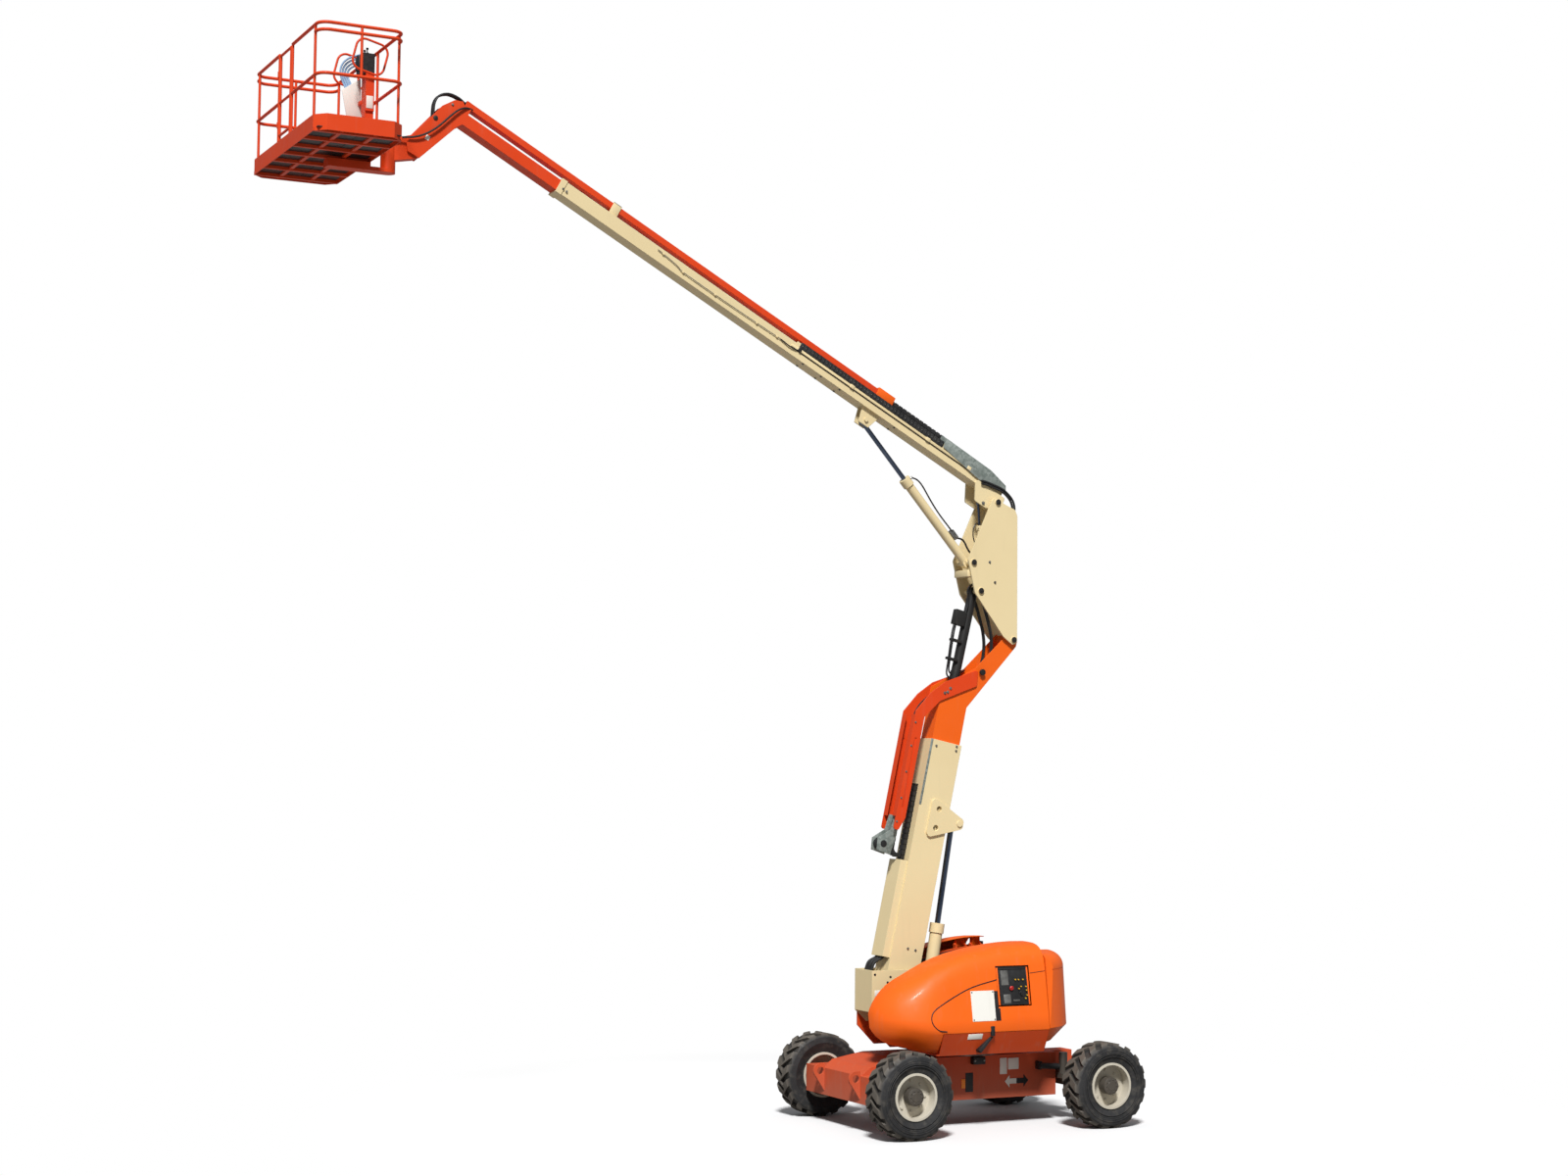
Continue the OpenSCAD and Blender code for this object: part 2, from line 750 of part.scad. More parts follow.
// Points of one section: outer skin, or inner skin where inset is the wall
function hood_section(share, start, inset) = let (t = blend(share), fade = 1 - t,
        x = hood_x(share, start) + inset * fade,
        wide = (hood_y - hood_in_y) * lookup(share, hood_wide_shares) - inset,
        top = hood_crown(share) - inset,
        low = hood_base + hood_rise * lookup(share, hood_low_shares) + inset * fade,
        crease = t * hood_crease + fade * (hood_base + nose_crease_share * hood_rise),
        depth = (crease - low) / (hood_crease - hood_base))
    concat([for (k = [0 : len(body_upper_shares) - 1])
        let (q = t * body_upper_shares[k] + fade * nose_upper_shares[k])
            [x, hood_in_y + wide * q[0], crease + q[1] * (top - crease)]],
        [for (k = [0 : len(body_lower_shares) - 1])
            let (b = [1 - (1 - body_lower_shares[k][0]) * min(1, depth), body_lower_shares[k][1]],
                q = t * b + fade * nose_lower_shares[k])
            [x, hood_in_y + wide * q[0], crease + q[1] * (low - crease)]]);
module hood_shell(start) {
    rows = len(hood_rows_shares);
    cols = len(body_upper_shares) + len(body_lower_shares);
    skin = rows * cols;
    last = cols - 1;
    end = (rows - 1) * cols;
    points = [for (inset = [0, hood_wall]) for (share = hood_rows_shares)
        each hood_section(share, start, inset)];
    faces = concat(
        [for (i = [0 : rows - 2]) for (j = [0 : cols - 2]) let (a = i * cols + j, b = a + cols)
            each [[a, b, a + 1], [b, b + 1, a + 1], [skin + a, skin + a + 1, skin + b],
                [skin + b, skin + a + 1, skin + b + 1]]],
        [for (i = [0 : rows - 2]) let (a = i * cols, b = a + cols)
            each [[a, skin + a, b], [b, skin + a, skin + b],
                [a + last, b + last, skin + a + last], [b + last, skin + b + last, skin + a + last]]],
        [for (j = [0 : cols - 2]) each [[end + j, skin + end + j, end + j + 1],
            [end + j + 1, skin + end + j, skin + end + j + 1]]],
        [for (j = [1 : cols - 2]) each [[0, j, j + 1], [skin, skin + j + 1, skin + j]]],
        [[0, last, skin], [last, skin + last, skin]]);
    polyhedron(points, [for (f = faces) [f[2], f[1], f[0]]]);
}
module hood(start) {
    color(orange) {
        difference() {
            hood_shell(start);
            block([hood_x(skirt_share, start), hood_in_y, deck_z],
                [hood_end_x + overrun, hood_y + overrun, hood_low]);
        }
        for (x = hinge_xs) hinge_eye(x + hinge_leaf + run_gap, start);
    }
}
// Eye of a hood on its hinge pin, between the two brackets, up into the skin
module hinge_eye(x, start) {
    l = hinge_l - 2 * hinge_leaf - 2 * run_gap;
    low = hinge_z - 2 * hinge_r;
    ends = [for (px = [x, x + l]) hood_crown((px - start) / (hood_end_x - start)) - hood_wall / 2];
    difference() {
        slab(hinge_y - 2 * hinge_r, 4 * hinge_r) polygon([[x, low], [x + l, low], [x + l, ends[1]], [x,
            ends[0]]]);
        translate([x - overrun, hinge_y, hinge_z]) rotate([0, 90, 0])
            cylinder(r = hinge_r + run_gap, h = l + 2 * overrun);
    }
}
module hood_far() { hood(far_start_x); }
module hood_near() {
    difference() {
        mirror([0, 1, 0]) hood(hood_start_x);
        color(orange) block([panel_x - panel_gap, -hood_y - overrun, panel_low - panel_gap],
            [panel_x + panel_w + panel_gap, -hood_y / 2, panel_low + panel_h + panel_gap]);
    }
}
// The tail's curve meets the hoods' corners and reaches tail_r behind the slewing axis
weight_x = hood_end_x + hood_gap;
weight_r = ((tail_r - weight_x) * (tail_r - weight_x) + hood_y * hood_y) / (tail_r - weight_x) / 2;
weight_cx = tail_r - weight_r;
hood_lean = 110;
hood_edge_r = 130;
hood_tuck = 70;
edge_tilt = 7;
seam_w = 8;
seam_deep = 6;
module counterweight() {
    color(orange) for (s = [-1, 1]) mirror([0, s < 0 ? 1 : 0, 0]) intersection() {
        translate([weight_cx, 0, 0]) rotate_extrude($fn = 128) weight_section();
        block([weight_x, weight_in_y, deck_z], [tail_r, hood_y, hood_top]);
        rotate([90, 0, 90]) linear_extrude(tail_r) hood_end_solid();
    }
}
// End view of the tail, which carries on the hoods' leaning sides
module hood_end_solid() {
    centre = [hood_y - hood_lean - hood_edge_r, hood_top - hood_edge_r];
    polygon(concat([[0, weight_low], [floor_y, weight_low], [hood_y, hood_crease]],
        arc(centre, hood_edge_r, edge_tilt, 90, 8), [[0, hood_top]]));
}
// Half section of the tail: drafted wall with a seam and a rounded top edge
module weight_section() {
    r_top = weight_r - weight_draft;
    polygon(concat([[0, weight_low], [weight_r - skirt_tuck, weight_low], [weight_r, hood_crease],
        [r_top, weight_mid - seam_w],
        [r_top - seam_deep, weight_mid - seam_w], [r_top - seam_deep, weight_mid]],
        arc([r_top - weight_top_r, weight_mid], weight_top_r, 0, 90, 10),
            [[0, weight_mid + weight_top_r]]));
}
module engine_block() {
    color(dark) block([engine_x, engine_y, deck_top],
        [engine_x + engine_l, engine_y + engine_w, deck_top + engine_h]);
}
module ground_controls() {
    y = -panel_face_y;
    color(dark) {
        block([panel_x, y, panel_low], [panel_x + panel_w, y + panel_depth, panel_low + panel_h]);
        block([panel_x + panel_w / 2 - post_w / 2, y + panel_depth - post_w, deck_z + floor_t],
            [panel_x + panel_w / 2 + post_w / 2, y + panel_depth, panel_low]);
    }
}

// Tower
module tower_base() {
    color(tan) in_tower() {
        difference() {
            union() {
                translate([0, 0, 0]) tube_x(0, tower_l, tower_w, -tower_d, tower_d, tower_wall);
                bar_y(0, 0, tower_boss_r, run_gap - mount_in_y, mount_in_y - run_gap);
            }
            bar_y(0, 0, tower_pin_r + run_gap, -tower_w, tower_w);
            block([-tower_boss_r, tower_wall - tower_w / 2, -tower_d + tower_wall],
                [tower_boss_r * 2, tower_w / 2 - tower_wall, -tower_boss_r - tower_wall]);
        }
        slabs(tower_w / 2 + ear_t, ear_t) ear_outline();
        for (s = [-1, 1]) mirror([0, s < 0 ? 1 : 0, 0])
            bar_y(ear_x, ear_z, ear_head_r, tower_w / 2 + ear_t / 2, tower_w / 2 + ear_t + ear_head_t);
        wear_pads();
    }
}
// Wear pads between the base section and the moving section, by the base's mouth
module wear_pads() {
    x0 = tower_l - pad_l;
    gap = fly_gap / 2 - seat_gap;
    for (s = [-1, 1]) {
        block([x0, s > 0 ? fly_w / 2 + seat_gap : -tower_w / 2 + tower_wall, -tower_d + tower_wall],
            [tower_l, s > 0 ? tower_w / 2 - tower_wall : -fly_w / 2 - seat_gap, -tower_wall]);
    }
    for (z = [-tower_d + tower_wall, -tower_wall - gap])
        block([x0, tower_wall - tower_w / 2, z], [tower_l, tower_w / 2 - tower_wall, z + gap]);
}
// Triangular ear for the lift cylinder's rod, with two lightening holes
ear_root_share = 0.37;
ear_half_share = 0.6;
ear_hole_share = 0.27;
ear_hole_r = 34;
ear_head_r = 34;
ear_head_t = 14;
module ear_outline() {
    root = -ear_root_share * tower_d;
    half = ear_half_share * tower_d;
    difference() {
        polygon(soft([[ear_x + half, root], [ear_x - half, root], [ear_x - ear_r, ear_z - ear_r],
            [ear_x + ear_r, ear_z - ear_r]],
            ear_r - swing_gap, 6));
        for (s = [-1, 1]) translate([ear_x + s * ear_hole_share * tower_d, root - 2 * ear_r])
            circle(r = ear_hole_r);
    }
}
module tower_tray() {
    color(tan) in_tower() difference() {
        block([tray_low, -tray_w / 2, 0], [tray_top, tray_w / 2, tray_depth]);
        block([tray_low - overrun, tray_wall - tray_w / 2, -overrun],
            [tray_top + overrun, tray_w / 2 - tray_wall, tray_depth - tray_wall]);
    }
}
// Cable chain: links with a gap between each two, over its top and along its sides
link_l = 62;
link_gap = 14;
link_depth = 7;
bend_links = 4;
// Edge of a row of links
function links(from, to, high) = let (n = floor((to - from - link_gap) / link_l)) concat(
    [for (k = [0 : n - 1]) let (a = from + k * link_l, b = a + link_l - link_gap)
        each [[a, high], [b, high], [b, high - link_depth], [a + link_l, high - link_depth]]],
    [[from + n * link_l, high], [to, high]]);
module chain_bar(from, to, low) {
    edge = links(from, to, chain_w / 2);
    intersection() {
        slab(-chain_w / 2, chain_w) polygon(concat(links(from, to, low + chain_t), [[to, low], [from,
            low]]));
        translate([0, 0, low]) linear_extrude(chain_t)
            polygon(concat(edge, [for (k = [len(edge) - 1 : -1 : 0]) [edge[k][0], -edge[k][1]]]));
    }
}
module tower_chain_run() {
    color(dark) in_tower() chain_bar(tower_run_low, tower_run_top, 0);
}
// Bend of a chain, round +Y, from its leg at the top to just over the resting run
module chain_bend(r, turn) {
    rotate([90, 0, 0]) translate([0, 0, -chain_w / 2]) rotate([0, 0, 90]) difference() {
        rotate_extrude(angle = turn) translate([r - chain_t / 2, 0]) square([chain_t, chain_w]);
        for (k = [1 : bend_links]) rotate([0, 0, turn * k / (bend_links + 1)])
            block([r + chain_t / 2 - link_depth, -link_gap / 2, -overrun],
                [r + chain_t, link_gap / 2, chain_w + overrun]);
    }
}
tower_bend_r = (tower_leg_z - chain_t / 2) / 2;
module tower_chain_loop() {
    stop = chain_t + seat_gap;
    centre = tower_leg_z - tower_bend_r;
    turn = 90 + asin((centre - stop) / (tower_bend_r + chain_t / 2));
    color(dark) in_tower() {
        translate([tower_bend_x, 0, centre]) chain_bend(tower_bend_r, turn);
        chain_bar(tower_bend_x, tower_leg_top, tower_leg_z - chain_t / 2);
    }
}
// Moving section: tube, cranked cheeks and the upright's pin boss
crank_shares = [[0, 0], [0.93, -0.55], [1.0, -0.555], [1.07, -0.40], [0.52, -0.02]];
crank_front_share = 0.19;
module fly_outline() {
    run = tip_x - elbow_x;
    polygon(concat([[fly_low, fly_front_z], [fly_low, fly_back_z]],
        [for (p = crank_shares) [elbow_x + p[0] * run, fly_back_z + p[1] * run]],
        [[elbow_x + crank_front_share * run, fly_front_z]]));
}
// Cheeks of tube and crank in one, with the plates that join them
module tower_fly() {
    run = tip_x - elbow_x;
    half = (fly_w - tower_wall) / 2;
    knee = [elbow_x, fly_back_z];
    heel = [elbow_x + crank_shares[1][0] * run, fly_back_z + crank_shares[1][1] * run];
    color(orange) in_tower() difference() {
        union() {
            slabs(fly_w / 2, tower_wall) fly_outline();
            block([fly_low, -half, fly_back_z], [elbow_x, half, fly_back_z + tower_wall]);
            block([fly_low, -half, fly_front_z - tower_wall], [elbow_x, half, fly_front_z]);
            aim(knee, heel) block([weld, -half, weld],
                [span(knee, heel) - tower_wall, half, weld + tower_wall]);
            bar_y(tip_x, tip_z, tip_r, -half, half);
        }
        bar_y(tip_x, tip_z, tip_pin_r + run_gap, -upright_w, upright_w);
    }
}
// Twin slotted channels that guide the chain, carried by arms on the crank
arm_shares = [[0, 0], [0.30, -0.48], [0.51, -0.46], [0.25, -0.02], [0.06, 0.16]];
arm_bend_share = 0.25;
arm_top_share = 0.20;
arm_r = 26;
finger_l = 150;
slot_w = 26;
slot_low = 260;
module arm_outline() {
    run = tip_x - elbow_x;
    polygon(soft(concat([[carrier_low + finger_l, carrier_in_z],
        [elbow_x - arm_bend_share * run, carrier_in_z]],
        [for (p = arm_shares) [elbow_x + p[0] * run, fly_front_z + p[1] * run]],
        [[elbow_x - arm_top_share * run, carrier_out_z], [carrier_low, carrier_out_z],
            [carrier_low, (carrier_in_z + carrier_out_z) / 2]]), arm_r, 4));
}
module track_carrier() {
    mid_z = (carrier_in_z + carrier_out_z) / 2;
    top = elbow_x - tower_stick / 2;
    color(orange) in_tower() difference() {
        union() {
            slabs(carrier_out_y, carrier_out_y - fly_w / 2) arm_outline();
            for (s = [-1, 1]) mirror([0, s < 0 ? 1 : 0, 0]) difference() {
                block([carrier_low + finger_l, carrier_out_y - carrier_w, carrier_in_z],
                    [top, carrier_out_y, carrier_out_z]);
                block([carrier_low, carrier_out_y - carrier_w - overrun, carrier_in_z + carrier_wall],
                    [elbow_x, carrier_out_y - carrier_wall, carrier_out_z - carrier_wall]);
            }
        }
        for (s = [-1, 1]) mirror([0, s < 0 ? 1 : 0, 0])
            block([carrier_low + slot_low, fly_w / 2 - overrun, mid_z - slot_w / 2],
                [top - slot_low, carrier_out_y + overrun, mid_z + slot_w / 2]);
    }
}

// Upright
upright_shares = [[-0.175, 1.031], [0.012, 0.95], [0.03, 0.905], [0.03, -0.012], [0, -0.042],
    [-0.085, 0.02],
    [-0.325, 0.33], [-0.385, 0.572]];
module upright_outline() {
    polygon(soft([for (p = upright_shares) [foot[0] + p[0] * upright_h, foot[1] + p[1] * upright_h]],
        upright_corner, 5));
}
module upright() {
    in_y = upright_w / 2 - upright_plate;
    color(tan) {
        slabs(upright_w / 2, upright_plate) upright_outline();
        bar_y(foot[0], foot[1], tip_pin_r, -in_y, in_y);
        bar_y(boom_x, boom_z, boom_pin_r, -in_y, in_y);
        bar_y(foot[0] + main_foot_dx, foot[1] + main_foot_dz, upright_pin_r, -in_y, in_y);
        bar_y(foot[0] + level_pin_dx, foot[1] + level_pin_dz, upright_pin_r, -in_y, in_y);
        bar_y(foot[0] + master_foot_dx, foot[1] + master_foot_dz, upright_pin_r / 2, -in_y, in_y);
        for (p = [[foot[0], foot[1]], [boom_x, boom_z], [foot[0] + main_foot_dx, foot[1] + main_foot_dz],
                [foot[0] + level_pin_dx, foot[1] + level_pin_dz]])
            for (s = [-1, 1]) bar_y(p[0], p[1], pin_head_r,
                s > 0 ? upright_w / 2 : -upright_w / 2 - pin_head_t,
                s > 0 ? upright_w / 2 + pin_head_t : -upright_w / 2);
    }
}

// Cylinders: a barrel on its foot pin and a rod whose eye is open
module barrel(a, b, r, l, cap_r, cap_l, pin_r, foot_w) {
    aim(a, b) difference() {
        union() {
            rotate([0, 90, 0]) translate([0, 0, pin_r]) cylinder(r = r, h = l - cap_l - pin_r);
            rotate([0, 90, 0]) translate([0, 0, l - cap_l]) cylinder(r = cap_r, h = cap_l);
            bar_y(0, 0, 2 * pin_r, -foot_w / 2, foot_w / 2);
        }
        bar_y(0, 0, pin_r + run_gap, -foot_w, foot_w);
    }
}
// Bore of a barrel for its rod, over the foot pin's boss
function bore_low(foot_r) = 3 * foot_r;
function rod_low(foot_r, stroke) = bore_low(foot_r) + stroke + swing_gap;
module barrel_bore(a, b, l, rod_r, foot_r) {
    aim(a, b) rotate([0, 90, 0]) translate([0, 0, bore_low(foot_r)]) cylinder(r = rod_r + run_gap, h = l);
}
module rod(a, b, from, r, eye_r, eye_t) {
    aim(a, b) {
        rotate([0, 90, 0]) translate([0, 0, from]) cylinder(r = r, h = span(a, b) - from);
        bar_y(span(a, b), 0, eye_r, -eye_t / 2, eye_t / 2);
    }
}
lift_foot = [lift_foot_x, lift_foot_z];
lift_eye = tower_at(ear_x, ear_z);
module tower_lift_barrel() {
    color(tan) difference() {
        barrel(lift_foot, lift_eye, tower_barrel_r, tower_barrel_l, gland_r, gland_l, lift_pin_r, eye_w);
        barrel_bore(lift_foot, lift_eye, tower_barrel_l, tower_rod_r, lift_pin_r);
    }
}
module tower_lift_rod() {
    color(steel) rod(lift_foot, lift_eye, rod_low(lift_pin_r, tower_stroke), tower_rod_r,
        ear_r - swing_gap, eye_w);
}
level_top = [foot[0] + level_pin_dx, foot[1] + level_pin_dz];
level_foot = tower_at(level_foot_x, level_foot_z);
module upright_level_barrel() {
    color(dark) difference() {
        barrel(level_top, level_foot, level_barrel_r, level_barrel_l, level_barrel_r + swing_gap, gland_l,
            upright_pin_r, eye_w);
        barrel_bore(level_top, level_foot, level_barrel_l, level_rod_r, upright_pin_r);
    }
}
module upright_level_rod() {
    color(steel) rod(level_top, level_foot, rod_low(upright_pin_r, level_stroke), level_rod_r,
        level_rod_r + swing_gap, eye_w / 2);
}
main_foot = [foot[0] + main_foot_dx, foot[1] + main_foot_dz];
main_eye = boom_at(ears_u, ears_z - eye_drop);
module main_lift_barrel() {
    color(tan) difference() {
        barrel(main_foot, main_eye, main_barrel_r, main_barrel_l, main_gland_r, main_gland_l,
            upright_pin_r, eye_w);
        barrel_bore(main_foot, main_eye, main_barrel_l, main_rod_r, upright_pin_r);
    }
}
module main_lift_rod() {
    color(steel) rod(main_foot, main_eye, rod_low(upright_pin_r, main_stroke), main_rod_r,
        main_rod_r + swing_gap, 2 * (ears_in_y - swing_gap));
}
master_foot = [foot[0] + master_foot_dx, foot[1] + master_foot_dz];
master_eye = boom_at(master_u, master_z);
module platform_level_barrel() {
    color(tan) difference() {
        barrel(master_foot, master_eye, master_barrel_r, master_barrel_l, master_barrel_r + swing_gap,
            gland_l / 2, upright_pin_r / 2, eye_w);
        barrel_bore(master_foot, master_eye, master_barrel_l, master_rod_r, upright_pin_r / 2);
    }
}
module platform_level_rod() {
    color(steel) rod(master_foot, master_eye, rod_low(upright_pin_r / 2, master_stroke), master_rod_r,
        master_rod_r + swing_gap, eye_w / 2);
}

// Main boom
rear_shares = [[-0.62, -0.45], [-0.62, 0.75], [2.2, 0.75], [2.2, 0.46], [1.6, -0.78], [0.6, -0.78]];
ears_shares = [[-0.92, 1], [0.72, 1], [0.45, -0.5], [-0.45, -0.5]];
module boom_base() {
    color(tan) in_boom() difference() {
        union() {
            tube_x(boom_tail, boom_l, boom_w, boom_low, boom_h, boom_wall);
            slabs(rear_plate_y, rear_plate) polygon(soft([for (p = rear_shares) p * boom_h], rear_corner,
                4));
            bar_y(0, 0, boss_r, -rear_plate_y, rear_plate_y);
            slabs(ears_in_y + ears_t, ears_t) polygon([for (p = ears_shares) [ears_u + p[0] * boom_h,
                ears_z + p[1] * (boom_low + boom_wall - ears_z)]]);
            for (s = [-1, 1]) bar_y(ears_u, ears_z, ears_head_r,
                s > 0 ? ears_in_y : -ears_in_y - 2 * ears_t,
                s > 0 ? ears_in_y + 2 * ears_t : -ears_in_y);
            for (s = [-1, 1]) block([rail_from, s > 0 ? boom_w / 2 - rail_w : -boom_w / 2,
                boom_low + boom_h],
                [rail_to, s > 0 ? boom_w / 2 : rail_w - boom_w / 2, boom_low + boom_h + rail_rise]);
            boom_pads();
            tube_x(boom_l - collar_l, boom_l, boom_w + 2 * collar_t, boom_low - collar_t,
                boom_h + 2 * collar_t, collar_t + weld);
        }
        bar_y(0, 0, boom_pin_r + run_gap, -upright_w, upright_w);
        block([boom_tail - overrun, boom_wall - boom_w / 2, boom_low + boom_wall],
            [boom_l - pad_l - overrun, boom_w / 2 - boom_wall, boom_low + boom_h - boom_wall]);
    }
}
// Wear pads between the boom's two sections
module boom_pads() {
    for (n = [boom_low + boom_wall, main_fly_z + main_fly_h + seat_gap])
        block([boom_l - pad_l, boom_wall - boom_w / 2, n],
            [boom_l, boom_w / 2 - boom_wall, n + main_fly_gap / 2 - seat_gap]);
}
guard_hole_shares = [0.9, 1.5, 3.2, 5.6];
guard_hole_r = 17;
guard_shares = [[-0.2, 0], [-0.25, 0.17], [1.5, 0.55], [6.3, 0.72], [6.3, 0]];
module chain_guard() {
    color(grey) in_boom() slabs(guard_y + guard_t, guard_t) difference() {
        polygon([for (p = guard_shares) [p[0] * boom_h, boom_low + boom_h + p[1] * boom_h]]);
        for (share = guard_hole_shares) translate([share * boom_h, boom_low + boom_h + 2 * guard_hole_r])
            circle(r = guard_hole_r);
    }
}
module boom_chain_run() {
    color(dark) in_boom() chain_bar(run_from, run_to, boom_low + boom_h);
}
module boom_chain_loop() {
    rest = boom_low + boom_h + chain_t / 2;
    r = (leg_z - rest) / 2;
    stop = boom_low + boom_h + chain_t + seat_gap;
    turn = 90 + asin((leg_z - r - stop) / (r + chain_t / 2));
    color(dark) in_boom() {
        translate([bend_u, 0, leg_z - r]) chain_bend(r, turn);
        chain_bar(bend_u, tube_tail, leg_z - chain_t / 2);
        block([tube_tail - weld, -chain_w / 2, leg_z - chain_t / 2],
            [leg_to, chain_w / 2, leg_z + chain_t / 2]);
    }
}
// Cranked nose of the moving section, drawn from its lower pin
nose_shares = [[-0.82, 1.19], [-0.82, 1.475], [-0.57, 1.69], [-0.37, 1.6], [-0.18, 1.3], [0.07, 0.29],
    [0.12, 0], [0, -0.17],
    [-0.33, -0.16], [-0.74, 1.06]];
module boom_fly() {
    size = -nose_z;
    color(orange) in_boom() difference() {
        union() {
            tube_x(main_fly_tail, fly_end + nose_lap, main_fly_w, main_fly_z, main_fly_h, boom_wall);
            slabs(main_fly_w / 2, nose_plate) polygon([for (p = nose_shares) [nose_u + p[0] * size,
                nose_z + p[1] * size]]);
            bar_y(nose_u, nose_z, nose_pin_r, -main_fly_w / 2, main_fly_w / 2);
            block([clamp_u, -main_fly_w / 2, main_fly_z + main_fly_h - boom_wall],
                [clamp_u + tube_clamp, main_fly_w / 2, tube_z]);
        }
    }
}
module push_tube() {
    color(orange) in_boom() {
        tube_x(tube_tail, clamp_u + tube_clamp, tube_w, tube_z, tube_h, tube_wall);
        block([tube_tail, -tube_w / 2, tube_z + tube_h - weld],
            [tube_tail + clip_l, tube_w / 2, tube_z + tube_h + clip_h]);
    }
}

// Platform
support_shares = [[0.35, 0.6], [-0.2, 0.45], [-1.0, 0.15], [-1.0, -0.85], [0.3, -0.6], [0.55, -0.1]];
module platform_support() {
    reach = nose[0] - rotor_x;
    color(orange) difference() {
        union() {
            slab(-support_w / 2, support_w) {
                polygon([for (p = support_shares) [nose[0] + p[0] * reach, nose[1] + p[1] * reach]]);
            }
            translate([rotor_x, 0, platform_z - arm_drop + seat_gap]) cylinder(r = rotor_r, h = rotor_h);
        }
        bar_y(nose[0], nose[1], nose_pin_r + run_gap, -boom_w, boom_w);
    }
}
// Outline of the toe boards with cut corners
module toe_outline(inset) {
    x = platform_d / 2 - inset;
    y = platform_w / 2 - inset;
    c = toe_chamfer;
    polygon([[-x + c, -y], [x - c, -y], [x, -y + c], [x, y - c], [x - c, y], [-x + c, y], [-x, y - c],
        [-x, -y + c]]);
}
module platform_floor() {
    color(orange) translate([platform_x, 0, platform_z]) {
        difference() {
            linear_extrude(toe_h) toe_outline(0);
            translate([0, 0, -overrun]) linear_extrude(toe_h + 2 * overrun) toe_outline(toe_t);
        }
        translate([0, 0, floor_rise]) linear_extrude(floor_plate) toe_outline(toe_t / 2);
        for (k = [0 : rib_rows - 1]) {
            y = (k / (rib_rows - 1) - 0.5) * (platform_w - 2 * toe_chamfer) - rib_w / 2;
            block([-platform_d / 2 + toe_t / 2, y, 0],
                [platform_d / 2 - toe_t / 2, y + rib_w, floor_rise]);
        }
        for (x = [-strip_x, strip_x]) block([x - rib_w / 2, toe_t / 2 - platform_w / 2, rib_drop],
            [x + rib_w / 2, platform_w / 2 - toe_t / 2, floor_rise]);
    }
    color(orange) difference() {
        union() {
            translate([rotor_x, 0, platform_z - arm_drop - arm_plate])
                cylinder(r = rotor_r, h = arm_plate);
            block([platform_x, -rotor_r, platform_z - arm_drop - arm_plate],
                [rotor_x, rotor_r, platform_z - arm_drop]);
            block([platform_x, -rotor_r, platform_z - arm_drop - arm_plate],
                [platform_x + platform_d / 2, rotor_r, platform_z]);
        }
    }
}
// Rail ring at one height, open at the gate
module rail_ring(z, gate) {
    x = platform_d / 2 - rail_inset;
    y = platform_w / 2 - rail_inset;
    r = rail_tube / 2;
    for (sx = [-1, 1]) for (sy = [-1, 1])
        translate([sx * (x - bend_r), sy * (y - bend_r), z])
            rotate([0, 0, sx > 0 ? (sy > 0 ? 0 : 270) : (sy > 0 ? 90 : 180)])
            rotate_extrude(angle = 90) translate([bend_r, 0]) circle(r = r);
    for (sy = [-1, 1]) translate([bend_r - x, sy * y, z]) rotate([0, 90, 0])
        cylinder(r = r, h = 2 * (x - bend_r));
    bar_y(x, z, r, bend_r - y, y - bend_r);
    if (gate) {
        bar_y(-x, z, r, bend_r - y, gate_from);
        bar_y(-x, z, r, gate_to, y - bend_r);
    } else bar_y(-x, z, r, bend_r - y, y - bend_r);
}
module rail_post(x, y, low) {
    translate([x, y, low]) cylinder(r = post_r, h = rail_h - rail_tube / 2 - low);
}
// Second rail round one short side, between its corner posts
module short_rail(side, z) {
    x = platform_d / 2 - rail_inset;
    y = platform_w / 2 - rail_inset;
    r = rail_tube / 2;
    mirror([0, side < 0 ? 1 : 0, 0]) {
        for (sx = [-1, 1]) {
            translate([sx * (x - bend_r), y - bend_r, z]) rotate([0, 0, sx > 0 ? 0 : 90])
                rotate_extrude(angle = 90) translate([bend_r, 0]) circle(r = r);
            bar_y(sx * x, z, r, y - bend_r - rail_tube, y - bend_r);
        }
        translate([bend_r - x, y, z]) rotate([0, 90, 0]) cylinder(r = r, h = 2 * (x - bend_r));
    }
}
